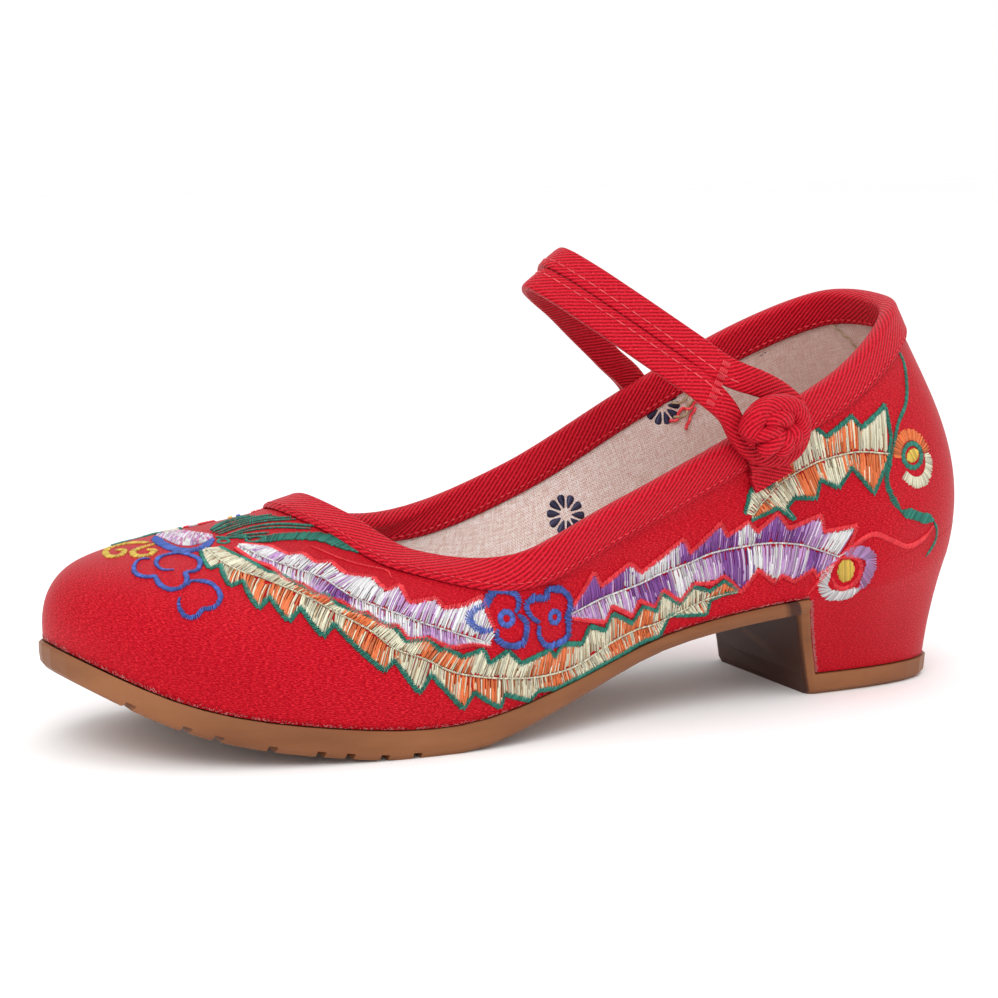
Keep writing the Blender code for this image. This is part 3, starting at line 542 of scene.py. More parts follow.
def twill(name, light, dark, pitch, slant):
    """Twill tape with slanting ribs that wander a little. Its colour holds painted shade in the
    grooves between the ribs, a painted highlight on the rib crests, and lighter yarn streaks that are
    partly a painted highlight.
    """
    g = Graph(name, 0.55)
    turned = g.coordinates("UV", turn=slant)
    split = g.node("ShaderNodeSeparateXYZ", {0: turned})
    across, along = split.outputs[0], split.outputs[1]
    wander = g.span(g.noise(g.coordinates("UV"), 260, 1.0), 0, 1, -0.16 * pitch, 0.16 * pitch)
    phase = g.math("MULTIPLY", g.math("ADD", across, wander), math.tau / pitch)
    rib = g.math("MULTIPLY_ADD", g.math("SINE", phase), 0.5, 0.5)
    stretched = g.node("ShaderNodeMapping", {"Vector": turned, "Scale": (5200, 1500, 1)})
    yarn = g.noise(stretched.outputs[0], 1.0, 1.0)
    twist = g.math("SINE", g.math("MULTIPLY", along, math.tau / THREAD_TWIST))
    height = g.math("MULTIPLY_ADD", twist, 0.12, g.math("MULTIPLY_ADD", yarn, 0.40, rib))
    # Painted shade in the grooves between the ribs, then a painted highlight along the rib crests
    colour = g.mix(g.span(rib, 0.02, 0.55), dark, light)
    colour = g.mix(g.span(rib, 0.70, 1.0, 0.0, 0.5), colour, TWILL_CREST_HIGHLIGHT)
    # Lighter yarn streaks at random: partly yarn tone, partly a painted highlight
    colour = g.mix(g.span(yarn, 0.52, 0.75, 0.0, 0.50), colour, TWILL_YARN_HIGHLIGHT)
    g.set(Base_Color=colour, Normal=g.bump(height, 0.00020, 0.9))
    g.set(Roughness=g.span(yarn, 0.3, 0.7, 0.62, 0.42))
    g.set(Sheen_Weight=0.03, Sheen_Roughness=0.4, Sheen_Tint=(1.0, 0.25, 0.28, 1.0))
    g.set(Specular_Tint=(1.0, 0.16, 0.18, 1.0), Specular_IOR_Level=0.35)
    return g.material


def linen():
    """Plain weave with red showing through its holes, and darker and browner towards the back: partly
    painted shade inside the heel, partly red thread showing through.
    """
    g = Graph("linen_print", 0.9)
    uv = g.coordinates("UV")
    split = g.node("ShaderNodeSeparateXYZ", {0: uv})
    u, v = split.outputs[0], split.outputs[1]
    wobble = g.span(g.noise(uv, 300, 1.0), 0, 1, -0.15 * MM, 0.15 * MM)
    waves = [g.math("SINE", g.math("MULTIPLY", g.math("ADD", axis, wobble), math.tau / WEAVE_PITCH))
             for axis in (u, v)]
    weave = g.math("MULTIPLY", *waves)
    threads = g.noise(g.coordinates("UV", (250, 3000, 1)), 1.0, 2.0)
    crossing = g.noise(g.coordinates("UV", (3000, 250, 1)), 1.0, 2.0)
    both = g.math("ADD", threads, crossing)
    colour = g.mix(g.span(both, 0.86, 1.12), LINEN_SHADE, LINEN_LIGHT)
    where = g.node("ShaderNodeSeparateXYZ", {0: g.coordinates("Object")})
    # Painted shade, partly red thread showing through: the linen darkens and browns towards the heel's
    # back
    back = g.span(where.outputs[0], BACK_SHADE, 0.0)
    colour = g.mix(g.math("MULTIPLY", back, 0.55), colour, LINEN_BACK_SHADE_AND_TINT)
    holes = g.math("GREATER_THAN", weave, 0.50)
    speck = g.span(g.noise(uv, 1400, 1.0), 0.42, 0.60, 0.30, 1.0)
    colour = g.mix(g.math("MULTIPLY", holes, speck), colour, LINEN_HOLE)
    g.set(Base_Color=colour)
    height = g.math("MULTIPLY_ADD", both, 0.6, g.math("ABSOLUTE", weave))
    g.set(Normal=g.bump(height, 0.00012, 0.8))
    g.set(Sheen_Weight=0.2, Sheen_Roughness=0.6)
    return g.material


def sole_rubber():
    """Tan rubber, with painted shade on the heel's leaning front wall between its rims."""
    g = Graph("sole_rubber", 0.45)
    where = g.coordinates("Object")
    split = g.node("ShaderNodeSeparateXYZ", {0: where})
    flow = g.noise(g.coordinates("Object", (25, 25, 90)), 1.0, 4.0)
    dust = g.noise(where, 900, 4.0)
    colour = g.mix(g.span(flow, 0.3, 0.7), RUBBER_DARK, RUBBER_LIGHT)
    inner_lean, outer_lean = BREAST_LEAN
    turn = (outer_lean - inner_lean) / (BASE_OUTER + BASE_INNER)
    lean = g.math("MULTIPLY_ADD", split.outputs[1], turn, inner_lean + BASE_INNER * turn)
    lean = g.math("MULTIPLY", lean, g.math("DIVIDE", split.outputs[2], feather_height(BREAST_X)))
    ahead = g.math("SUBTRACT", split.outputs[0], lean)
    front = g.span(ahead, *(BREAST_X - edge for edge in BREAST_EDGE))
    under = g.span(ahead, *(BREAST_X + end for end in BREAST_END))
    wall = g.math("MULTIPLY", front, under)
    # Painted shade on the heel's leaning front wall, inside the mask between its edges
    colour = g.mix(g.math("MULTIPLY", wall, 0.93), colour, RUBBER_FRONT_SHADE)
    colour = g.mix(g.span(dust, 0.62, 0.8, 0.0, 0.3), colour, RUBBER_DUST)
    g.set(Base_Color=colour, Normal=g.bump(dust, 0.00006, 0.4))
    g.set(Roughness=g.span(flow, 0.3, 0.7, 0.42, 0.56))
    g.set(Specular_IOR_Level=0.25)
    return g.material


# Meshes

MERGE_GAP = 0.002 * MM
LARGEST_HOLE = 64           # edges


def section_mesh(name, sections, uv, material, ring=False):
    """Skin over closed sections, side by side or in a ring. uv has a value for each corner."""
    rows, columns = sections.shape[:2]
    i = np.arange(rows - (0 if ring else 1))[:, None]
    k = np.arange(columns)[None, :]
    corners = [np.broadcast_arrays(*corner)
               for corner in ((i, k), (i, k + 1), (i + 1, k + 1), (i + 1, k))]
    faces = np.stack([(a % rows * columns + b % columns).ravel() for a, b in corners], 1)
    spots = np.stack([(a * (columns + 1) + b).ravel() for a, b in corners], 1)
    mesh = bpy.data.meshes.new(name)
    mesh.from_pydata(sections.reshape(-1, 3).tolist(), [], faces.tolist())
    layer = mesh.uv_layers.new(name="UVMap")
    layer.data.foreach_set("uv", uv.reshape(-1, 2)[spots.ravel()].ravel())
    mesh.materials.append(material)
    mesh.shade_smooth()
    mesh.update()
    return mesh


def new_object(name, data):
    """Object in the scene, with the given mesh, light or camera."""
    made = bpy.data.objects.new(name, data)
    bpy.context.scene.collection.objects.link(made)
    return made


def add_piece(mesh, replaces=None):
    """Piece of the shoe, under its mesh's name, in place of a solid node where one is named."""
    piece = new_object(mesh.name, mesh)
    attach(piece, "root")
    if replaces:
        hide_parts(replaces)


def section_uv(sections, run=None):
    """Metres along the piece and round each closed section, for every corner. Without a run it
    is measured along the sections' middles."""
    closed = np.concatenate([sections, sections[:, :1]], 1)
    if run is None:
        run = lengths_along(closed.mean(1))
    up = np.linalg.norm(np.diff(closed, axis=1), axis=2)
    up = np.concatenate([np.zeros((len(closed), 1)), np.cumsum(up, 1)], 1)
    return np.stack([np.broadcast_to(run[:, None], up.shape), up], -1)


def ring_uv(sections):
    """The same for a ring of sections, measured round it on the outer face."""
    closed = np.concatenate([sections, sections[:1]], 0)
    return section_uv(closed, lengths_along(closed[:, (sections.shape[1] + 1) // 4]))


def tube_mesh(name, sections, material):
    """Skin through sections along a path, with both ends drawn in to a small cap."""
    caps = sections[[0, -1]].mean(1, keepdims=True)
    ends = caps + (sections[[0, -1]] - caps) * 0.02
    sections = np.concatenate([ends[:1], sections, ends[1:]])
    mesh = section_mesh(name, sections, section_uv(sections), material)
    tidy(mesh)
    return mesh


def tidy(mesh):
    """Merge doubled points, close the ends and turn the faces outwards."""
    data = bmesh.new()
    data.from_mesh(mesh)
    bmesh.ops.remove_doubles(data, verts=data.verts, dist=MERGE_GAP)
    bmesh.ops.holes_fill(data, edges=data.edges, sides=LARGEST_HOLE)
    bmesh.ops.recalc_face_normals(data, faces=data.faces)
    data.to_mesh(mesh)
    data.free()
    mesh.shade_smooth()


# Upper, lining, cover and insole

# How far each ring of the insole lies inside the upper, and its share of the thickness
INSOLE_PROFILE = ((INSOLE_GAP, 0.0), (INSOLE_GAP, 0.75), (INSOLE_GAP + 0.6 * MM, 1.0))


def upper_places():
    """Places of the upper's columns, once round the shoe from the back."""
    return BACK_PLACE + np.linspace(0, len(ROWS), AROUND, endpoint=False)


def make_upper(satin_red, lining):
    """Satin outside and linen inside, from the collar edge down to the feather line."""
    places = upper_places()
    grid = (places[:, None], np.linspace(0, 1, LEVELS)[None, :])
    outer, normal = skin(*grid)
    wall = wall_points(*grid)
    outward = foot_outward(places)
    inner = wall - normal * (LINING_DEPTH - OVERLAP)
    inner[:, 0, :2] = outer[:, 0, :2] - outward * (LINING_DEPTH - OVERLAP)
    inner[:, 0, 2] = outer[:, 0, 2]
    sections = np.concatenate([outer, inner[:, ::-1]], 1)
    mesh = section_mesh("satin_upper", sections, ring_uv(sections), satin_red, True)
    add_piece(mesh, "upper")
    face = wall - normal * UPPER_WALL
    back = wall - normal * LINING_DEPTH
    face[:, 0, :2] = foot_points(places) - outward * UPPER_WALL
    face[:, 0, 2] = outer[:, 0, 2]
    back[:, 0] = inner[:, 0]
    sections = np.concatenate([face[:, ::-1], back], 1)
    mesh = section_mesh("linen_lining", sections, ring_uv(sections), lining, True)
    add_piece(mesh, "upper")


def make_cover(satin_red):
    """The upper's cloth on down over the heel. It overlaps the wall a little, and its grain
    runs on from there."""
    places = np.linspace(COVER_FROM, COVER_TO, COVER_COLUMNS)
    levels = np.concatenate([COVER_OVERLAP, np.linspace(0, -1, COVER_ROWS)])
    outer = skin(places[:, None], levels[None, :], COVER_LIFT)[0]
    side = raised(foot_outward(places), np.zeros(len(places)))[:, None]
    inner = outer - side * (UPPER_WALL - 2 * OVERLAP)
    sections = np.concatenate([outer, inner[:, ::-1]], 1)
    above = upper_places()
    walls = skin(above[:, None], np.linspace(0, 1, LEVELS)[None])[0]
    girth = lengths_along(np.concatenate([walls, walls[:1]])[:, LEVELS // 2])
    around = np.append(above, above[0] + len(ROWS))
    run = np.interp(places, np.append(around[:-1] - len(ROWS), around),
                    np.append(girth[:-1] - girth[-1], girth))
    uv = section_uv(sections, run)
    uv[..., 1] = uv[:, len(COVER_OVERLAP), 1][:, None] - uv[..., 1]
    mesh = section_mesh("heel_cover", sections, uv, satin_red)
    tidy(mesh)
    mesh.set_sharp_from_angle(angle=SHARP)
    add_piece(mesh, "upper")


def make_insole(lining):
    """Sock on the sole, inside the upper, with a rounded edge."""
    places = upper_places()[::2]
    foot = foot_points(places)
    outward = foot_outward(places)
    height = feather_height(foot[:, 0])
    data = bmesh.new()
    rings = []
    for inset, share in INSOLE_PROFILE:
        line = foot - outward * (UPPER_WALL + inset)
        points = np.column_stack([line, height + INSOLE_THICKNESS * share])
        rings.append([data.verts.new(point) for point in points])
    count = len(places)
    half = count // 2
    for lower, upper in zip(rings, rings[1:]):
        for i in range(count):
            j = (i + 1) % count
            data.faces.new((lower[i], lower[j], upper[j], upper[i]))
    for line in (rings[0], rings[-1]):
        for i in range(half - 1):
            corners = (line[i], line[i + 1], line[(-i - 1) % count], line[-i % count])
            data.faces.new(list(dict.fromkeys(corners)))
        data.faces.new(line[half - 1:half + 2])
    bmesh.ops.recalc_face_normals(data, faces=data.faces)
    layer = data.loops.layers.uv.new("UVMap")
    for face in data.faces:
        for loop in face.loops:
            loop[layer].uv = loop.vert.co.xy
    mesh = bpy.data.meshes.new("linen_insole")
    data.to_mesh(mesh)
    data.free()
    mesh.materials.append(lining)
    mesh.shade_smooth()
    mesh.set_sharp_from_angle(angle=SHARP)
    add_piece(mesh, "insole")


# Binding, strap, tab and knot

# Shares of the binding's width below the collar edge, and the millimetres that its face is
# lifted there. It is low at the lower edge and along the stitches.
BINDING_PROFILE = (
    (1.0, -1.10), (0.96, -0.45), (0.9, -0.15), (0.84, -0.30), (0.78, -0.12),
    (0.66, 0.0), (0.5, 0.03), (0.34, 0.03), (0.18, 0.0), (0.0, 0.0),
)


def make_binding(binding_twill):
    """Tape folded over the collar edge, with a soft dip along its stitch line."""
    places = BACK_PLACE + np.linspace(0, len(ROWS), BINDING_COLUMNS, endpoint=False)
    gap = CLEARANCE + BINDING_SLACK
    shares, lifts = np.array(BINDING_PROFILE).T
    lifts = BINDING_LIFT + lifts * MM
    spots = below_collar(places[:, None], shares[None, :] * BINDING_WIDTH)
    points, normals = wall_points(*spots), wall_normals(*spots)
    outer = points + normals * lifts[:, None]
    inner = points - normals * (UPPER_WALL + lifts)[:, None]
    seat_out = points + normals * gap
    seat_in = points - normals * (UPPER_WALL + gap)
    rise = unit(np.cross(collar_direction(places), normals[:, -1]))[:, None]
    edge, away = points[:, -1:], normals[:, -1:]
    middle = edge - away * UPPER_WALL / 2
    turn = np.linspace(0, math.pi, 9)[1:-1][None, :, None]
    half = UPPER_WALL / 2 + BINDING_LIFT
    fold = middle + away * np.cos(turn) * half + rise * np.sin(turn) * BINDING_LIFT
    sections = np.concatenate([outer, fold, inner[:, ::-1], seat_in, seat_out[:, ::-1]], 1)
    mesh = section_mesh("binding_tape", sections, ring_uv(sections), binding_twill, True)
    tidy(mesh)
    add_piece(mesh, "topline_binding")


def knot_frame():
    places, levels = below_collar(np.array([KNOT_PLACE]), KNOT_DROP)
    base = wall_points(places, levels)[0]
    out = wall_normals(places, levels)[0]
    toeward = unit(np.cross(out, (0, 0, 1)))
    return base, toeward, np.cross(toeward, out), out


def strap_path():
    """Centre line of the tape with its width's direction, as in the solid model."""
    base, toeward, up, out = knot_frame()
    stack_gap = TAPE_THICKNESS + CLEARANCE
    seat = CLEARANCE + BINDING_TAPE + STRAP_GAP + TAPE_THICKNESS / 2
    rim = collar_points(STRAP_PLACE)
    away = wall_normals(STRAP_PLACE, 1.0)
    inner_end = rim + away * (seat + stack_gap / 2)
    tab_top = CLEARANCE + BINDING_LIFT + TAB_THICKNESS
    loop_height = tab_top + CLEARANCE + LOOP_THICKNESS / 2
    outer_end = base + out * loop_height
    forward = np.array([math.cos(STRAP_LEAN), 0, math.sin(STRAP_LEAN)])
    arch_side = np.array([-math.sin(TAPE_LEAN), 0, math.cos(TAPE_LEAN)])
    middle = np.array([inner_end + (outer_end - inner_end) * row.across
                       + forward * STRAP_REACH * row.reach for row in ARCH])
    heading = unit(np.gradient(middle, axis=0))
    face = unit(np.cross(heading, arch_side))
    spread = np.array([row.spread for row in ARCH])[:, None]
    stack = np.array([row.stack for row in ARCH])[:, None]
    shift = arch_side * spread * TAPE_SPACING / 2 + face * stack * stack_gap / 2
    spot = below_collar(np.array([STRAP_PLACE]), STRAP_TAIL)
    tail_point, tail_away = wall_points(*spot)[0], wall_normals(*spot)[0]
    tails = [tail_point + tail_away * seat, tail_point + tail_away * (seat + stack_gap)]
    loop = np.array([outer_end + LOOP_RADIUS * (row.toeward * toeward + row.up * up)
                     for row in LOOP])
    points = np.vstack([tails[0], middle - shift, loop, (middle + shift)[::-1], tails[1]])
    loop_heading = unit(np.gradient(loop, axis=0))
    loop_side = unit(np.cross(out, loop_heading))
    arch_sides = np.tile(arch_side, (len(ARCH) + 1, 1))
    sides = np.vstack([arch_sides, loop_side, -arch_sides])
    full = np.ones(len(ARCH) + 1)
    wide = np.concatenate([full, [row.wide for row in LOOP], full])
    return points, sides, wide


def strap_line():
    """Centre line of the tape, with its width's direction and its face."""
    points, sides, _ = strap_path()
    run = lengths_along(points)
    at = np.linspace(0, run[-1], int(round(run[-1] / STRAP_STEP)))
    line = through(run, points, at)
    heading = unit(np.gradient(line, axis=0))
    side = through(run, sides, at)
    side = unit(side - heading * np.sum(side * heading, axis=1)[:, None])
    return line, side, np.cross(heading, side)


def section_shape(sides, power):
    """Shares across and deep round a section. A power of 1 is an ellipse, and less is squarer."""
    turn = np.linspace(0, math.tau, sides, endpoint=False)
    return [(np.sign(wave) * np.abs(wave)**power)[None, :, None]
            for wave in (np.cos(turn), np.sin(turn))]


def make_strap(tape_twill):
    """One run of tape, rounder and narrower in the loop round the knot."""
    points, _, wide = strap_path()
    line, side, face = strap_line()
    run = lengths_along(points)
    share = np.clip(through(run, wide, np.linspace(0, run[-1], len(line))), 0, 1)
    half_width = (LOOP_WIDTH + (TAPE_WIDTH - LOOP_WIDTH) * share) / 2
    half_depth = (LOOP_THICKNESS + (TAPE_THICKNESS - LOOP_THICKNESS) * share) / 2
    across, deep = section_shape(TAPE_SIDES, TAPE_SQUARENESS)
    sections = (line[:, None] + (side * half_width[:, None])[:, None] * across
                + (face * half_depth[:, None])[:, None] * deep)
    mesh = tube_mesh("strap_tape", sections, tape_twill)
    add_piece(mesh, "instep_strap")


def make_tab(tape_twill):
    """Short tape down over the binding and on to the satin, under the knot."""
    over = CLEARANCE + BINDING_LIFT
    places = TAB_PLACE + TAB_SPAN * np.linspace(-0.5, 0.5, 15)
    downs = np.array((TAB_TOP, BINDING_WIDTH / 2, BINDING_WIDTH + CLEARANCE,
                      BINDING_WIDTH + TAB_STEP, TAB_END))
    heights = np.array((over, over, over, CLEARANCE, CLEARANCE))
    fine = np.linspace(TAB_TOP, TAB_END, 30)
    lift = np.interp(fine, downs, heights)
    spots = below_collar(places[:, None], fine[None, :])
    points, normals = wall_points(*spots), wall_normals(*spots)
    top = points + normals * (lift + TAB_THICKNESS)[:, None]
    bottom = points + normals * lift[:, None]
    sections = np.concatenate([top, bottom[:, ::-1]], 1)
    uv = section_uv(sections, lengths_along(sections[:, 0]))
    mesh = section_mesh("knot_tab", sections, uv, tape_twill)
    tidy(mesh)
    mesh.set_sharp_from_angle(angle=SHARP)
    add_piece(mesh, "button_tab")


def sweep(path, ups, wide, deep, sides=20):
    """Oval sections along a path. ups is the direction of the section's depth."""
    path = np.asarray(path, float)
    heading = unit(np.gradient(path, axis=0))
    ups = unit(ups - heading * np.sum(ups * heading, axis=1)[:, None])
    side = np.cross(heading, ups)
    across, height = section_shape(sides, CORD_SQUARENESS)
    wide, deep = (np.broadcast_to(size, len(path))[:, None, None] for size in (wide, deep))
    return path[:, None] + side[:, None] * wide * across + ups[:, None] * deep * height


# Strands of the knot: millimetres towards the toe, up and out from its middle, and half widths
Strand = namedtuple("Strand", "name spots wide deep")
STRANDS = (
    Strand("band", ((5.6, -3.6, -1.6), (7.0, -0.6, -0.2), (6.0, 2.6, 0.5), (3.2, 4.7, 0.7),
                    (-0.4, 5.3, 0.8), (-4.0, 4.6, 0.7), (-6.4, 2.2, 0.5), (-6.9, -0.8, 0.2),
                    (-5.6, -3.6, -0.4), (-3.6, -5.2, -1.6)), 2.5, 2.9),
    Strand("bead", ((3.9, 1.0, 0.6), (2.5, 2.0, 1.9), (0.4, 2.4, 2.3), (-1.7, 1.9, 1.9),
                    (-2.5, 0.6, 0.4)), 2.1, 2.0),
    Strand("lobe_left", ((-0.8, -0.3, 0.2), (1.8, -0.8, 1.5), (4.6, -1.3, 1.5), (7.2, -1.6, -0.4)),
           1.8, 2.1),
    Strand("lobe_low", ((-1.0, -1.0, 0.2), (0.6, -2.6, 1.5), (2.6, -4.3, 1.3), (4.4, -5.6, -0.8)),
           2.1, 2.1),
    Strand("lobe_under", ((-1.9, -1.2, 0.2), (-2.0, -3.0, 1.5), (-1.7, -4.8, 1.1), (-0.6, -6.0, -0.8)),
           2.2, 2.1),
    Strand("lobe_right", ((-2.4, -0.4, 0.2), (-4.0, -1.4, 1.4), (-5.0, -3.0, 1.2), (-5.0, -4.8, -0.8)),
           2.0, 2.0),
    Strand("core", ((4.4, 0.0, -0.9), (0.0, 0.0, -0.6), (-4.4, 0.0, -0.9)), 4.0, 2.2),
)


KNOT_NECK = (-6.4, -1.0)    # from the tab to the core, below the knot's middle


def make_knot(cord_twill):
    """A cord wound round itself: an outer band, lobes under it and a bead in the middle."""
    base, toeward, up, out = knot_frame()
    middle = base + toeward * KNOT_TOEWARD + up * KNOT_UP + out * KNOT_HEIGHT
    axes = np.array([toeward, up, out])
    cords = []
    for strand in STRANDS:
        path = middle + smooth_line(np.array(strand.spots) * MM, 0.35 * MM) @ axes
        full = np.clip(np.sin(math.pi * np.linspace(0, 1, len(path))) * 3.0, 0.45, 1)
        ups = np.tile(out, (len(path), 1))
        cords.append((strand.name, sweep(path, ups, strand.wide * MM * full,
                                         strand.deep * MM * full)))
    neck = middle + np.outer(np.linspace(*KNOT_NECK, 8) * MM, out)
    cords.append(("neck", sweep(neck, np.tile(up, (8, 1)), 2.5 * MM, 2.5 * MM)))
    for name, sections in cords:
        add_piece(tube_mesh(f"knot_{name}", sections, cord_twill), "knot_button")


# Embroidery
#
# Each motif is drawn from spots on the upper, as (place, level). The feathers, flowers
# and stems have mirrored twins on the inner side, which the photograph doesn't show.

THREAD_WIDTH = 0.50 * MM
THREAD_HEIGHT = 0.34 * MM
THREAD_PITCH = 0.40 * MM
SINK = 0.06 * MM            # a stitch's ends below the satin
LONG_STITCH = 2.4 * MM
BORDER_HEIGHT = 0.42 * MM
EDGE_WIDTH = 1.65 * MM      # of the sewn edge round a feather
QUILL_WIDTH = 0.5 * MM

# Where a stitch's points lie along it
SHORT_SHAPE = (0, 0.22, 0.78, 1)
LONG_SHAPE = (0, 0.07, 0.36, 0.66, 0.93, 1)

# Layers of a feather's barbs: where they start between spine and edge, and their pitch
BARB_LAYERS = ((0.0, 0.42 * MM), (0.40, 0.54 * MM), (0.62, 0.66 * MM))

rng = np.random.default_rng(7)

Patch = namedtuple("Patch", "place colour")


def bands(places, *colours):
    """Bands of colour that begin at the given places, with the colours taken in turn."""
    return [Patch(place, colours[k % len(colours)]) for k, place in enumerate(places)]


# A feather: its spine, its toothed outlines with their bands, and how far its barbs lean
Tail = namedtuple("Tail", "spine upper lower upper_colours lower_colours edge lean")

PEACOCK_TAIL = Tail(
    spine=((7.48, .69), (6.95, .64), (6.68, .64), (6.25, .60), (5.80, .48), (5.60, .38), (5.43, .33),
           (5.28, .26), (5.12, .21), (4.95, .16), (4.78, .11), (4.60, .08), (4.45, .09), (4.33, .11),
           (4.17, .11), (4.03, .09), (3.85, .11), (3.68, .13), (3.50, .12)),
    upper=((7.43, .72), (7.18, .71), (6.95, .70), (6.75, .68), (6.62, .69), (6.45, .66), (6.38, .66),
           (6.25, .63), (6.20, .65), (6.05, .59), (5.85, .56), (5.62, .49), (5.55, .42), (5.43, .44),
           (5.35, .37), (5.33, .39), (5.23, .33), (5.12, .36), (5.08, .27), (4.98, .32), (4.90, .22),
           (4.73, .24), (4.70, .18), (4.65, .24), (4.53, .19), (4.48, .28), (4.38, .20), (4.33, .29),
           (4.20, .16), (4.12, .24), (4.03, .16), (4.00, .28), (3.88, .15), (3.78, .24), (3.68, .17),
           (3.58, .21), (3.50, .13)),
    lower=((7.45, .67), (7.10, .60), (7.10, .64), (6.80, .55), (6.78, .60), (6.48, .48), (6.50, .56),
           (6.25, .45), (6.25, .54), (6.00, .40), (5.98, .48), (5.62, .26), (5.58, .32), (5.43, .16),
           (5.38, .25), (5.20, .07), (5.15, .14), (5.00, .03), (4.98, .09), (4.83, .01), (4.78, .04),
           (4.67, .01), (4.58, .01), (4.50, .01), (4.38, .01), (4.23, .01), (4.12, .02), (4.00, .01),
           (3.95, .11), (3.83, .07), (3.70, .04), (3.68, .12), (3.58, .13), (3.50, .12)),
    upper_colours=bands((7.45, 6.42, 6.10, 5.95, 5.75, 5.47, 5.20, 4.82, 4.58, 4.32, 4.05, 3.70),
                        "cream", "orange"),
    lower_colours=bands((7.45, 6.87, 6.32, 5.92, 5.57, 5.28, 5.00, 4.75, 4.58, 4.36, 4.05, 3.70),
                        "cream", "orange"),
    edge="teal", lean=1.2 * MM)

NEAR_TAIL = Tail(
    spine=((7.35, .76), (6.93, .74), (6.62, .74), (6.33, .73), (5.98, .65), (5.68, .59), (5.50, .54),
           (5.33, .49), (5.20, .44), (5.08, .39)),
    upper=((7.35, .77), (7.10, .80), (6.85, .79), (6.78, .82), (6.58, .80), (6.50, .83), (6.25, .79),
           (6.05, .81), (5.83, .73), (5.78, .78), (5.62, .66), (5.48, .71), (5.40, .64), (5.28, .66),
           (5.18, .72), (5.06, .45)),
    lower=((7.30, .74), (6.95, .71), (6.78, .71), (6.55, .67), (6.40, .67), (6.23, .63), (6.05, .62),
           (5.88, .56), (5.83, .57), (5.70, .50), (5.62, .51), (5.53, .43), (5.43, .45), (5.30, .39),
           (5.18, .40), (5.08, .37)),
    upper_colours=bands((7.35, 6.95, 6.80, 5.75, 5.50), "white", "lavender"),
    lower_colours=bands((7.35, 6.95, 6.80, 6.40, 6.22, 6.00, 5.52, 5.20),
                        "white", "lavender", "white", "lavender", "violet"),
    edge="red", lean=1.2 * MM)

REAR_TAIL = Tail(
    spine=((4.60, .42), (4.40, .44), (4.25, .43), (4.12, .42), (3.98, .43), (3.78, .43), (3.62, .44),
           (3.43, .41), (3.23, .37), (3.00, .30), (2.85, .24), (2.68, .18)),
    upper=((4.58, .47), (4.40, .66), (4.38, .53), (4.15, .61), (4.10, .50), (3.75, .63), (3.75, .50),
           (3.48, .63), (3.48, .52), (3.30, .56), (3.28, .47), (3.08, .54), (3.05, .42), (2.75, .44),
           (2.78, .34), (2.45, .32), (2.60, .20)),
    lower=((4.60, .39), (4.38, .26), (4.33, .35), (4.20, .21), (4.15, .30), (4.05, .20), (3.98, .30),
           (3.88, .17), (3.78, .26), (3.65, .22), (3.58, .25), (3.48, .11), (3.35, .22), (3.25, .12),
           (3.18, .15), (3.10, .10), (2.93, .15), (2.90, .10), (2.68, .17)),
    upper_colours=bands((4.60, 4.18, 3.82, 3.42, 3.28, 2.95, 2.80),
                        "violet", "white", "violet", "white", "violet", "lavender", "white"),
    lower_colours=bands((4.60, 4.38, 4.20, 3.90, 3.72, 3.60, 3.40, 3.18, 3.00, 2.85),
                        "lavender", "white", "violet", "white", "lavender", "violet", "white",
                        "lavender", "violet"),
    edge="red", lean=0.6 * MM)

BACK_FEATHER = Tail(
    spine=((3.25, .59), (3.12, .65), (2.95, .70), (2.65, .72), (2.45, .71), (2.18, .67), (1.88, .58)),
    upper=((3.30, .62), (3.20, .72), (3.10, .75), (3.03, .70), (2.90, .75), (2.48, .90), (2.40, .81),
           (2.10, .83), (2.05, .76), (1.70, .77), (1.78, .64), (1.88, .58)),
    lower=((3.28, .56), (3.05, .57), (2.98, .46), (3.00, .55), (2.90, .59), (2.73, .54), (2.62, .63),
           (2.50, .55), (2.30, .62), (2.20, .45), (1.88, .58)),
    upper_colours=bands((3.30, 3.05, 2.78, 2.45, 2.12), "cream", "orange"),
    lower_colours=bands((3.30, 3.08, 2.84, 2.60, 2.36), "orange", "cream"),
    edge="teal", lean=0.4 * MM)

# A line sewn across, or a loose thread
Line = namedtuple("Line", "points wide colour")


def drawn(colour, *rows):
    """Lines of one colour, from their spots and widths in millimetres."""
    return [Line(points, wide * MM, colour) for points, wide in rows]


WING = drawn("teal",
    (((8.05, .775), (8.30, .82), (8.36, .855), (8.24, .885)), 0.7),
    (((8.02, .775), (8.22, .82), (8.24, .86), (8.12, .89)), 0.6),
    (((7.96, .775), (8.12, .835), (8.05, .88), (7.90, .915)), 0.8),
    (((7.93, .77), (8.03, .83), (7.95, .88), (7.78, .915)), 0.6),
    (((7.85, .77), (7.93, .84), (7.83, .89), (7.58, .93)), 0.9),
    (((7.78, .77), (7.84, .84), (7.72, .89), (7.48, .93)), 0.6),
    (((7.68, .78), (7.70, .84), (7.55, .89), (7.15, .935)), 1.1),
    (((7.62, .775), (7.62, .83), (7.45, .88), (7.15, .92)), 0.7),
    (((7.30, .795), (7.27, .83), (7.14, .87), (6.92, .905), (6.62, .915), (6.44, .915)), 3.6),
    (((7.72, .755), (7.60, .77), (7.50, .80), (7.38, .80)), 0.9),
    (((7.60, .79), (7.50, .82), (7.40, .85)), 0.9),
    (((7.50, .785), (7.42, .81), (7.32, .84)), 0.9),
    (((7.45, .80), (7.36, .785), (7.28, .80), (7.30, .825), (7.38, .82)), 0.9))

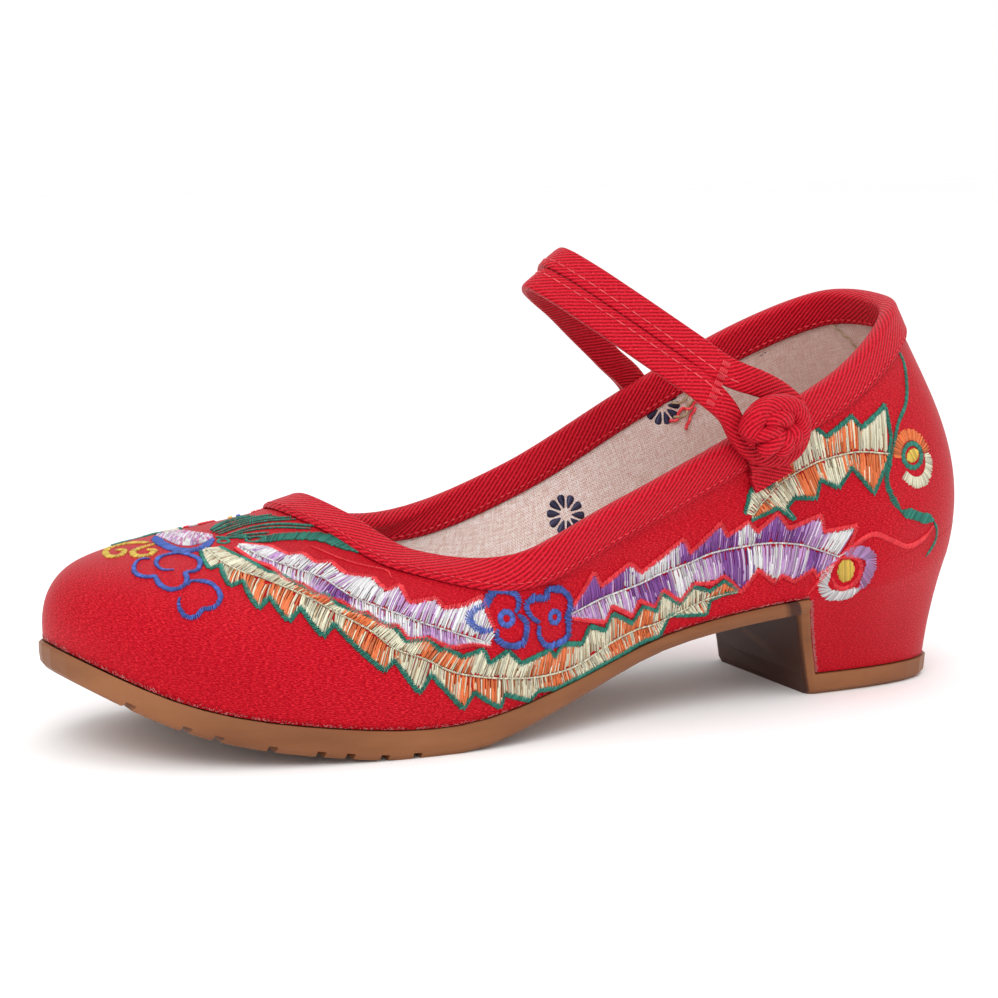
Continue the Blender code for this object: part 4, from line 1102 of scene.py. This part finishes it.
CLOUDS = drawn("blue",
    (((7.28, .53), (7.35, .51), (7.48, .53), (7.58, .57), (7.58, .61), (7.50, .63), (7.33, .63),
      (7.23, .61), (7.15, .57), (7.18, .54), (7.10, .51), (7.05, .47), (7.08, .43), (7.18, .43),
      (7.30, .46), (7.35, .44), (7.45, .44), (7.58, .48), (7.65, .52), (7.60, .54)), 1.45),
    (((6.98, .41), (6.95, .38), (6.90, .35), (6.83, .33), (6.78, .35), (6.78, .39), (6.73, .42),
      (6.75, .47), (6.83, .51), (6.95, .53), (7.05, .51), (7.03, .48)), 1.45))

FLOWERS = drawn("blue",
    (((5.08, .47), (5.15, .48), (5.23, .56), (5.20, .63), (5.15, .65), (5.12, .73), (5.05, .75),
      (4.95, .69), (4.93, .61), (4.95, .56)), 2.1),
    (((5.05, .47), (5.05, .41), (4.98, .35), (4.90, .34), (4.88, .39), (4.88, .47),
      (4.93, .54)), 2.0),
    (((4.80, .44), (4.85, .50), (4.88, .59), (4.83, .63), (4.75, .60), (4.73, .66), (4.65, .63),
      (4.60, .55), (4.60, .47), (4.62, .42), (4.62, .29), (4.67, .26), (4.75, .27), (4.80, .35),
      (4.80, .42)), 2.0))

STEMS = (
    Line(((2.64, .200), (2.52, .190), (2.40, .165), (2.34, .12), (2.38, .06), (2.46, .01)),
         3.4 * MM, "lavender"),
    Line(((2.46, .01), (2.56, -.02), (2.68, -.025), (2.79, .005), (2.84, .05), (2.81, .105),
          (2.74, .15)), 3.0 * MM, "white"),
    Line(((2.72, .18), (2.54, .165), (2.46, .12), (2.48, .06), (2.58, .025), (2.70, .03), (2.76, .08)),
         1.6 * MM, "red"),
    Line(((2.97, .02), (2.88, .07), (2.77, .13), (2.68, .18), (2.55, .22), (2.35, .25), (2.15, .21)),
         1.2 * MM, "red"),
    Line(((2.62, .16), (2.50, .22), (2.30, .25), (2.10, .19), (1.88, .13), (1.65, .13), (1.50, .16)),
         1.7 * MM, "red"),
    Line(((1.23, .92), (1.18, .84), (1.30, .76), (1.45, .70), (1.65, .66), (1.85, .57)),
         1.3 * MM, "teal"),
    Line(((1.85, .57), (2.00, .49), (2.02, .40), (1.93, .30)), 2.0 * MM, "teal"),
    Line(((1.93, .30), (1.70, .23), (1.50, .18)), 2.8 * MM, "teal"),
    Line(((1.50, .18), (1.43, .13), (1.45, .09), (1.58, .05)), 1.0 * MM, "teal"),
    Line(((6.85, .86), (6.40, .86), (6.05, .87), (5.90, .82)), 0.6 * MM, "red"),
)

# Rings of stitches: half sizes, the hole's share of them, and the part of a turn that is sewn
Ring = namedtuple("Ring", "place level toeward up inner colour start end")
RINGS = (
    Ring(7.55, .752, 1.9 * MM, 1.5 * MM, 0.5, "teal", 0, 1),
    Ring(5.00, .53, 2.4 * MM, 2.4 * MM, 0.30, "blue", 0, 1),
    Ring(4.70, .44, 2.1 * MM, 2.1 * MM, 0.28, "blue", 0, 1),
    Ring(2.62, .105, 2.3 * MM, 3.2 * MM, 0.0, "yellow", 0, 1),
    Ring(1.62, .50, 2.3 * MM, 1.7 * MM, 0.0, "yellow", 0, 1),
    Ring(1.62, .50, 4.1 * MM, 3.7 * MM, 0.58, "teal", 0, 1),
    Ring(1.62, .485, 6.6 * MM, 7.6 * MM, 0.60, "orange", 0.08, 0.52),
    Ring(1.62, .485, 6.6 * MM, 7.6 * MM, 0.60, "cream", 0.54, 0.95),
)

# Thread colours. Those in PLAIN change less from thread to thread.
TINTS = {
    "teal": (0.006, 0.26, 0.185),
    "orange": (0.88, 0.185, 0.032),
    "cream": (0.90, 0.83, 0.62),
    "violet": (0.25, 0.055, 0.36),
    "lavender": (0.60, 0.34, 0.66),
    "white": (0.94, 0.90, 0.92),
    "blue": (0.065, 0.150, 0.60),
    "yellow": (0.88, 0.60, 0.085),
    "red": (0.86, 0.026, 0.042),
    "pink": (0.72, 0.20, 0.48),
    "sand": (0.50, 0.36, 0.20),
    "navy": (0.012, 0.018, 0.085),
    "fray": (0.60, 0.15, 0.15),
    "seam": (0.72, 0.018, 0.036),
    "twine": (0.84, 0.085, 0.10),
}
COLOURS = tuple(TINTS)
PLAIN = ("red", "seam", "twine")
PLAIN_SHADE = 0.82          # the darkest thread, as a share of its colour
SILK_SHADE = 0.50

# A share of a feather's threads is strays of another colour
STRAYS = 0.17
MIXED = {"orange": "cream", "cream": "sand", "violet": "lavender", "lavender": "white",
         "white": "lavender"}

# The bird's body: lines, and the two edges of its filled breast
BODY_LINES = (
    Line(((8.36, .645), (7.93, .635), (7.65, .635), (7.53, .66), (7.55, .70), (7.68, .745)),
         2.6 * MM, "blue"),
    Line(((8.53, .50), (8.62, .55), (8.68, .60), (8.68, .65)), 1.8 * MM, "teal"),
    Line(((8.12, .61), (8.30, .57), (8.35, .51), (8.22, .48), (7.95, .47), (7.90, .50),
          (8.03, .53), (8.12, .51)), 1.9 * MM, "yellow"),
    Line(((8.00, .62), (7.98, .58), (7.90, .54), (7.75, .53), (7.70, .56), (7.78, .59),
          (7.85, .58)), 1.9 * MM, "yellow"),
    Line(((8.60, .90), (8.62, .94)), 1.2 * MM, "red"),
    Line(((8.74, .85), (8.66, .85)), 1.4 * MM, "yellow"),
    Line(((8.74, .87), (8.66, .87)), 1.2 * MM, "blue"),
)
BODY_LOW = ((8.44, .65), (8.10, .66), (7.80, .66), (7.66, .68), (7.66, .72), (7.74, .75))
BODY_HIGH = ((8.62, .66), (8.66, .68), (8.45, .72), (8.20, .74), (8.00, .755), (7.85, .76))


def unfolded(places, levels):
    """Wall and cover without folds, for small steps along the satin."""
    places, levels = pair(places, levels)
    wall = wall_points(places, np.maximum(levels, 0))
    low = levels < 0
    if low.any():
        wall[low] = cover_points(places[low], -levels[low])
    return wall


def moved(places, levels, offset, steps=3):
    """Places and levels after a short way in space along the satin."""
    offset = offset / steps
    for _ in range(steps):
        around = (unfolded(places + NUDGE, levels) - unfolded(places - NUDGE, levels)) / (2 * NUDGE)
        climb = (unfolded(places, levels + NUDGE) - unfolded(places, levels - NUDGE)) / (2 * NUDGE)
        places, levels = stepped(places, levels, (around, climb), offset)
    return places, levels


def compass(places, levels):
    """Directions along the satin towards the toe and upwards, and out of it."""
    around = unit(unfolded(places + NUDGE, levels) - unfolded(places - NUDGE, levels))
    climb = unfolded(places, levels + NUDGE) - unfolded(places, levels - NUDGE)
    out = unit(np.cross(climb, around))
    return around, np.cross(around, out), out


def traced(points, smooth=True, step=0.1 * MM):
    """Spots a step apart along a drawn line, and how far along it they are."""
    points = np.asarray(points, float)
    knots = np.linspace(0, 1, len(points))
    fine = np.linspace(0, 1, 60 * len(points))
    line = through(knots, points, fine) if smooth else sampled(fine, knots, points)
    run = lengths_along(unfolded(*line.T))
    at = np.linspace(0, run[-1], max(int(run[-1] / step), 4))
    return sampled(at, run, line), at


def thread_mesh(name, lines, normals, wide, high, colours, palette, fullness=1.0):
    """Closed stitches of equally many points, with a three-cornered section and pointed ends.
    fullness is the share of the width at each inner point."""
    count, points = lines.shape[:2]
    heading = unit(np.gradient(lines, axis=1))
    side = unit(np.cross(normals, heading))
    wide = np.broadcast_to(wide, count)[:, None, None]
    high = np.broadcast_to(high, count)[:, None, None]
    middle = lines[:, 1:-1]
    flank = side[:, 1:-1] * wide / 2 * np.reshape(fullness, (-1, 1))
    crown = normals[:, 1:-1] * high
    ring = np.stack([middle - flank, middle + crown, middle + flank], 2)
    each = 2 + 3 * (points - 2)
    last = each - 1
    corners = np.empty((count, each, 3))
    corners[:, [0, -1]] = lines[:, [0, -1]] - normals[:, [0, -1]] * SINK
    corners[:, 1:-1] = ring.reshape(count, -1, 3)
    faces = []
    for a, b in ((0, 1), (1, 2), (2, 0)):
        faces.append((0, 1 + a, 1 + b))
        for k in range(points - 3):
            base = 1 + 3 * k
            faces.append((base + a, base + 3 + a, base + 3 + b, base + b))
        base = each - 4
        faces.append((base + a, last, base + b))
    whole = [tuple(i + n * each for i in face) for n in range(count) for face in faces]
    mesh = bpy.data.meshes.new(name)
    mesh.from_pydata(corners.reshape(-1, 3).tolist(), [], whole)
    for material in palette:
        mesh.materials.append(material)
    mesh.polygons.foreach_set("material_index", np.repeat(colours, len(faces)).astype(np.int32))
    mesh.shade_smooth()
    mesh.update()
    return mesh


class Stitches:
    """Stitches on the satin, gathered by motif and made into one piece."""

    def __init__(self):
        self.rows = []

    def add(self, starts, ends, colours, wide=THREAD_WIDTH, high=THREAD_HEIGHT, lift=0.0):
        count = len(starts)
        colours = np.broadcast_to(np.asarray(colours), count)
        table = np.column_stack([starts, ends, np.full(count, wide), np.full(count, high),
                                 np.full(count, lift)])
        self.rows.append((table, [COLOURS.index(colour) for colour in colours]))

    def build(self, name, palette, mirrored=False):
        table = np.concatenate([row[0] for row in self.rows])
        colours = np.concatenate([row[1] for row in self.rows])
        if mirrored:
            table[:, (0, 2)] = len(ROWS) - table[:, (0, 2)]
        span = unfolded(table[:, 0], table[:, 1]) - unfolded(table[:, 2], table[:, 3])
        long = np.linalg.norm(span, axis=1) > LONG_STITCH
        for kind, shape, pick in (("short", SHORT_SHAPE, ~long), ("long", LONG_SHAPE, long)):
            rows = table[pick]
            if not len(rows):
                continue
            shares = np.array(shape)[None]
            places, levels = (rows[:, k:k + 1] + (rows[:, k + 2:k + 3] - rows[:, k:k + 1]) * shares
                              for k in (0, 1))
            points, normals = skin(places, levels, rows[:, 6:7])
            mesh = thread_mesh(f"{name}_{kind}", points, normals, rows[:, 4], rows[:, 5],
                               colours[pick], palette)
            add_piece(mesh)


def barbs(stitches, tail):
    """Long stitches from a feather's spine to its toothed edges, in bands of colour."""
    spine, run = traced(tail.spine)
    line = unfolded(*spine.T)
    for outline, patches in ((tail.upper, tail.upper_colours), (tail.lower, tail.lower_colours)):
        edge = np.asarray(outline, float)
        spots = unfolded(*edge.T)
        near = np.linalg.norm(line[None] - spots[:, None], axis=2).argmin(1)
        progress = np.maximum.accumulate(run[near] + np.arange(len(edge)) * 0.01 * MM)
        for share, pitch in BARB_LAYERS:
            count = int(run[-1] / pitch)
            at = (np.arange(count) + rng.uniform(-0.35, 0.35, count)) * pitch
            start = sampled(at, run, spine)
            end = sampled(at + tail.lean, progress, edge)
            way = end - start
            reach = rng.uniform(0.84, 1.03, count)[:, None]
            first = np.clip(share + rng.uniform(-0.12, 0.12, count), 0, 1)[:, None]
            middle = (start + end)[:, 0] / 2 + rng.uniform(-0.05, 0.05, count)
            pick = np.sum(np.array([patch.place for patch in patches])[None] >= middle[:, None], 1)
            colours = [patches[max(k - 1, 0)].colour for k in pick]
            stray = rng.uniform(size=count) < STRAYS
            colours = [MIXED[colour] if odd else colour for colour, odd in zip(colours, stray)]
            stitches.add(start + way * first, start + way * reach, colours, lift=0.05 * MM)


def border(stitches, points, wide, colour, smooth=True, taper=0.6, lean=0.45, lift=0.0):
    """Satin stitches side by side across a line."""
    line, run = traced(points, smooth)
    count = max(int(run[-1] / THREAD_PITCH), 3)
    at = (np.arange(count) + 0.5 + rng.uniform(-0.15, 0.15, count)) * run[-1] / count
    places, levels = sampled(at, run, line).T
    heading = sampled(at, run, unit(np.gradient(unfolded(*line.T), axis=0)))
    out = compass(places, levels)[2]
    share = at / run[-1]
    narrow = taper + (1 - taper) * np.clip(np.sin(math.pi * share) * 2.2, 0, 1)
    half = (wide / 2 * narrow * rng.uniform(0.84, 1.12, count))[:, None]
    step = (np.cross(out, unit(heading)) + heading * lean) * half
    starts = np.column_stack(moved(places, levels, -step))
    ends = np.column_stack(moved(places, levels, step))
    stitches.add(starts, ends, colour, THREAD_PITCH * 1.02, BORDER_HEIGHT, lift)


def rosette(stitches, spec):
    """Stitches radiating round an oval, or filling it where it has no hole."""
    place, level = np.array([spec.place]), np.array([spec.level])
    toeward, up, _ = (axis[0] for axis in compass(place, level))
    if spec.inner:
        size = math.pi * (spec.toeward + spec.up) * (spec.end - spec.start)
        angle = np.linspace(spec.start, spec.end, int(size / THREAD_PITCH / 1.05)) * math.tau
        angle += rng.uniform(-0.02, 0.02, len(angle))
        outer = (np.outer(np.cos(angle) * spec.toeward, toeward)
                 + np.outer(np.sin(angle) * spec.up, up))
        starts, ends = outer * spec.inner, outer * rng.uniform(0.95, 1.05, len(angle))[:, None]
    else:
        across = np.linspace(-0.95, 0.95, int(2 * spec.toeward / THREAD_PITCH / 0.85))
        half = np.sqrt(1 - across**2) * rng.uniform(0.92, 1.05, len(across))
        base = np.outer(across * spec.toeward, toeward)
        starts, ends = (base + np.outer(half * spec.up * sign, up) for sign in (-1, 1))
    places, levels = np.full(len(starts), spec.place), np.full(len(starts), spec.level)
    stitches.add(np.column_stack(moved(places, levels, starts)),
                 np.column_stack(moved(places, levels, ends)), spec.colour)


def fill(stitches, low, high, rows, colours):
    """Rows of short stitches between two lines, mixed from the given colours."""
    low, run = traced(low)
    high, _ = traced(high)
    count = int(run[-1] / THREAD_PITCH)
    shares = np.linspace(0, 1, count)
    base, top = (sampled(shares * (len(line) - 1), np.arange(len(line)), line)
                 for line in (low, high))
    for row in range(rows):
        first = (row + rng.uniform(-0.3, 0.1, count)) / rows
        last = (row + 1 + rng.uniform(-0.1, 0.3, count)) / rows
        starts, ends = (base + (top - base) * np.clip(share, 0, 1)[:, None]
                        for share in (first, last))
        stitches.add(starts, ends, rng.choice(colours, count))


def make_embroidery(palette):
    """Three groups of stitches. The two with the feathers have twins on the inner side."""
    near, far, body = Stitches(), Stitches(), Stitches()
    for group, tails in ((near, (PEACOCK_TAIL, NEAR_TAIL)), (far, (REAR_TAIL, BACK_FEATHER))):
        for tail in tails:
            for outline in (tail.upper, tail.lower):
                border(group, outline, EDGE_WIDTH, tail.edge, False, 0.8, lift=0.08 * MM)
            barbs(group, tail)
            border(group, tail.spine, QUILL_WIDTH, "cream" if tail.edge == "teal" else "white",
                   taper=0.8, lean=0.8, lift=0.1 * MM)
    for line in FLOWERS:
        border(near, *line, lift=0.2 * MM)
    for line in STEMS:
        border(far, *line, taper=0.3)
    for spec in RINGS[1:]:
        rosette(far, spec)
    for line in CLOUDS + WING:
        border(body, *line, taper=0.3, lift=0.1 * MM)
    rosette(body, RINGS[0])
    for line in BODY_LINES:
        border(body, *line, taper=0.5)
    fill(body, BODY_LOW, BODY_HIGH, 4, ("white", "white", "pink", "lavender"))
    for name, group in (("tail_threads", near), ("heel_threads", far)):
        group.build(name, palette)
        group.build(f"inner_{name}", palette, True)
    body.build("bird_threads", palette)


SEAM_HEIGHT = 0.22 * MM
SEAM_SEAT = 0.16 * MM       # the stitches sink this far into the binding's dip
BACK_SEAM = (0.90, -0.98)   # levels

# Shares of the strap's length: its stitched stretches, and the bar that joins both tapes
STRAP_SEAMS = ((0.20, 0.415), (0.585, 0.80))
BAR_FIRST = 0.405
BAR_LAST = 0.60
BAR_ROWS = (-0.8, -0.4, 0.0, 0.4, 0.8)      # millimetres from the bar's middle


def seam(name, line, normals, palette, colour, stitch, gap, wide):
    """Running stitches along a line in space."""
    run = lengths_along(line)
    starts = np.arange(gap, run[-1] - stitch - gap, stitch + gap)
    at = starts[:, None] + np.array((0, 0.2, 0.8, 1))[None] * stitch
    points, outs = sampled(at, run, line), sampled(at, run, normals)
    index = np.full(len(starts), COLOURS.index(colour))
    mesh = thread_mesh(name, points, unit(outs), wide, SEAM_HEIGHT, index, palette)
    add_piece(mesh)


def make_seams(palette):
    """Stitch lines of the binding, the back and the strap."""
    places = BACK_PLACE + np.linspace(0, len(ROWS), 900)
    spots = below_collar(places, BINDING_WIDTH - SEAM_INSET)
    points, normals = wall_points(*spots), wall_normals(*spots)
    seat = BINDING_LIFT - SEAM_SEAT
    seam("binding_stitches", points + normals * seat, normals, palette, "seam",
         stitch=1.5 * MM, gap=0.5 * MM, wide=0.36 * MM)
    seam("inner_stitches", points - normals * (UPPER_WALL + seat), -normals, palette, "seam",
         stitch=1.5 * MM, gap=0.5 * MM, wide=0.5 * MM)
    levels = np.linspace(*BACK_SEAM, 120)
    back, away = skin(np.full(len(levels), BACK_PLACE), levels)
    seam("back_stitches", back, away, palette, "seam",
         stitch=1.9 * MM, gap=0.4 * MM, wide=0.4 * MM)
    line, side, face = strap_line()
    run = lengths_along(line)
    for number, (first, last) in enumerate(STRAP_SEAMS):
        pick = (run > first * run[-1]) & (run < last * run[-1])
        edge = line[pick] + side[pick] * TAPE_WIDTH * 0.22
        top = edge + face[pick] * (TAPE_THICKNESS / 2 + 0.02 * MM)
        seam(f"strap_stitches_{number}", top, face[pick], palette, "twine",
             stitch=3.0 * MM, gap=0.15 * MM, wide=0.30 * MM)
    # Bar of stitches across both tapes, where the loop begins
    near, far = (int(np.argmin(np.abs(run - bar * run[-1]))) for bar in (BAR_FIRST, BAR_LAST))
    across = unit(line[far] - line[near])
    past = across * TAPE_WIDTH * 0.42
    height = unit(face[near] + face[far]) * (TAPE_THICKNESS / 2 + 0.05 * MM)
    heading = unit(np.cross(across, height))
    for number, shift in enumerate(BAR_ROWS):
        path = np.linspace(line[near] - past, line[far] + past, 40) + height + heading * shift * MM
        seam(f"bar_stitches_{number}", path, np.tile(unit(height), (len(path), 1)), palette,
             "seam", stitch=1.5 * MM, gap=0.2 * MM, wide=0.42 * MM)


def inside(places, levels, lift):
    """Spots on the lining's face, and the way out of it."""
    normals = wall_normals(places, levels)
    return wall_points(places, levels) - normals * (UPPER_WALL + lift), -normals


# Printed flowers and dots: where a petal's points lie along it, and how full it is between
PETAL_SHAPE = (0.20, 0.42, 0.66, 0.86, 0.96, 1.0)
PETAL_FULLNESS = (0.38, 0.86, 1.0, 0.62)
PRINT_SIZE = 5.2 * MM
Print = namedtuple("Print", "place level size petals")
PRINTS = (
    Print(12.33, .52, PRINT_SIZE, 10), Print(13.28, .85, PRINT_SIZE, 10),
    Print(14.30, .85, 0.9 * MM, 2), Print(14.88, .63, 0.8 * MM, 2),
    Print(10.9, .30, PRINT_SIZE, 10), Print(2.2, .55, PRINT_SIZE, 10),
    Print(4.6, .45, PRINT_SIZE, 10), Print(15.6, .40, PRINT_SIZE, 10),
)
LOOSE = (
    Line(((13.60, .80), (13.50, .77), (13.42, .79), (13.36, .75), (13.30, .76)), 0.8 * MM, "red"),
    Line(((13.62, .78), (13.52, .80), (13.44, .75), (13.34, .77)), 0.7 * MM, "sand"),
    Line(((13.55, .76), (13.47, .72), (13.42, .68)), 0.8 * MM, "red"),
    Line(((13.66, .80), (13.56, .85), (13.45, .82), (13.36, .84)), 0.6 * MM, "sand"),
    Line(((13.30, .90), (13.10, .90), (12.92, .88)), 0.5 * MM, "sand"),
    Line(((15.45, .74), (15.40, .80), (15.28, .84), (15.15, .90)), 0.4 * MM, "sand"),
)


def make_lining_details(palette):
    """Printed flowers and dots, and a few thread ends that lie on the lining."""
    lines, outs, wide = [], [], []
    shares = np.array(PETAL_SHAPE)
    for flower in PRINTS:
        place, level = np.full(len(shares), flower.place), np.full(len(shares), flower.level)
        toeward, up, _ = compass(place, level)
        for angle in np.arange(flower.petals) / flower.petals * math.tau + 0.2:
            way = (toeward * math.cos(angle) + up * math.sin(angle)) * flower.size
            points, away = inside(*moved(place, level, way * shares[:, None]), 0.02 * MM)
            lines.append(points)
            outs.append(away)
            wide.append(flower.size * 0.40)
    index = np.full(len(lines), COLOURS.index("navy"))
    mesh = thread_mesh("lining_print", np.array(lines), np.array(outs), wide, 0.03 * MM, index,
                       palette, PETAL_FULLNESS)
    add_piece(mesh)
    for number, loose in enumerate(LOOSE):
        spots, _ = traced(loose.points, step=0.4 * MM)
        wave = 0.5 + 0.35 * np.sin(np.arange(len(spots)) * 0.9)
        points, away = inside(spots[:, 0], spots[:, 1], (wave * MM)[:, None])
        sections = sweep(points, away, loose.wide / 2, loose.wide / 2, 8)
        material = palette[COLOURS.index(loose.colour)]
        add_piece(tube_mesh(f"loose_thread_{number}", sections, material))


SOLE_FRAY = 1500            # fibres along the sole
FRONT_FRAY = 420            # fibres down each front edge of the heel's cover


def make_fray(palette):
    """Short pale fibres at the cloth's cut edges, along the sole and down the heel's front."""
    places = rng.uniform(COVER_TO, len(ROWS) + COVER_FROM, SOLE_FRAY)
    edge = np.column_stack([places, rng.uniform(-0.002, 0.006, SOLE_FRAY)])
    tips = edge + np.column_stack([rng.uniform(-0.02, 0.02, SOLE_FRAY),
                                   rng.uniform(0.0, 0.011, SOLE_FRAY)])
    fray = Stitches()
    fray.add(edge, tips, "fray", 0.14 * MM, 0.10 * MM)
    for end, sign in ((COVER_TO, -1), (COVER_FROM, 1)):
        places = end + sign * rng.uniform(0.0, 0.012, FRONT_FRAY)
        edge = np.column_stack([places, rng.uniform(-0.99, -0.03, FRONT_FRAY)])
        tips = edge + np.column_stack([sign * rng.uniform(0.0, 0.035, FRONT_FRAY),
                                       rng.uniform(-0.05, 0.05, FRONT_FRAY)])
        tips[:, 1] = np.clip(tips[:, 1], -1, 1)
        fray.add(edge, tips, "fray", 0.15 * MM, 0.14 * MM)
    fray.build("frayed_edges", palette)


def silk(name, colour):
    """Glossy thread, with each stitch a little lighter or darker."""
    shade = PLAIN_SHADE if name in PLAIN else SILK_SHADE
    g = Graph(f"silk_{name}", 0.38)
    each = g.node("ShaderNodeNewGeometry").outputs["Random Per Island"]
    dark = tuple(channel * shade for channel in colour)
    light = tuple(min(channel * 1.12 + 0.02, 0.97) for channel in colour)
    strands = g.noise(g.coordinates("Object"), 5200, 1.0)
    tone = g.mix(each, dark, light)
    g.set(Base_Color=g.mix(g.span(strands, 0.3, 0.7, 0.0, 0.35), tone, dark))
    g.set(Normal=g.bump(strands, 0.00006, 0.6), Roughness=g.span(strands, 0.3, 0.7, 0.30, 0.48))
    g.set(Specular_IOR_Level=0.6)
    return g.material


# Scene

Light = namedtuple("Light", "name place size power")
LIGHTS = (
    Light("key", (0.75, 0.95, 1.25), 0.9, 9),
    Light("top", (0.05, 0.1, 1.4), 1.0, 3),
    Light("rim", (-0.9, 0.35, 0.7), 0.7, 0.5),
)
FLOOR_REACH = 3             # metres from the heel


def make_stage():
    """White floor and surroundings, three soft lights, and the camera."""
    mesh = bpy.data.meshes.new("floor")
    corners = [(x * FLOOR_REACH, y * FLOOR_REACH, 0) for x, y in ((-1, -1), (1, -1), (1, 1), (-1, 1))]
    mesh.from_pydata(corners, [], [(0, 1, 2, 3)])
    floor = new_object("floor", mesh)
    g = Graph("pale_floor", 0.9)
    g.set(Base_Color=FLOOR_WHITE)
    mesh.materials.append(g.material)
    world = bpy.data.worlds.new("studio")
    world.use_nodes = True
    backdrop = world.node_tree.nodes["Background"]
    backdrop.inputs["Color"].default_value = (1, 1, 1, 1)
    backdrop.inputs["Strength"].default_value = 1.0
    bpy.context.scene.world = world
    bpy.context.scene.view_settings.view_transform = "Standard"
    for light in LIGHTS:
        data = bpy.data.lights.new(light.name, "AREA")
        data.size = light.size
        data.energy = light.power
        lamp = new_object(light.name, data)
        lamp.location = light.place
        lamp.rotation_mode = "QUATERNION"
        lamp.rotation_quaternion = (Vector(light.place) - CAMERA_TARGET).to_track_quat("Z", "Y")
    data = bpy.data.cameras.new("camera")
    data.lens = CAMERA_LENS
    data.sensor_width = CAMERA_SENSOR
    data.clip_start = 0.01
    camera = new_object("camera", data)
    camera.location = CAMERA_TARGET + CAMERA_BACK.normalized() * CAMERA_DISTANCE
    camera.rotation_mode = "QUATERNION"
    camera.rotation_quaternion = CAMERA_BACK.to_track_quat("Z", "Y")
    bpy.context.scene.camera = camera


make_stage()
satin_red = satin()
binding_twill = twill("twill_red", TWILL_RED, TWILL_GROOVE_SHADE, pitch=0.92 * MM, slant=-1.05)
tape_twill = twill("twill_tape", TWILL_RED, TWILL_GROOVE_SHADE, pitch=0.88 * MM, slant=-0.92)
cord_twill = twill("twill_cord", CORD_RED, CORD_GROOVE_SHADE, pitch=0.85 * MM, slant=-0.80)
lining = linen()
make_upper(satin_red, lining)
make_cover(satin_red)
make_insole(lining)
make_binding(binding_twill)
make_strap(tape_twill)
make_tab(tape_twill)
make_knot(cord_twill)
palette = [silk(name, TINTS[name]) for name in COLOURS]
make_embroidery(palette)
make_seams(palette)
make_lining_details(palette)
make_fray(palette)
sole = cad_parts["outsole"]
sole.data.materials.clear()
sole.data.materials.append(sole_rubber())
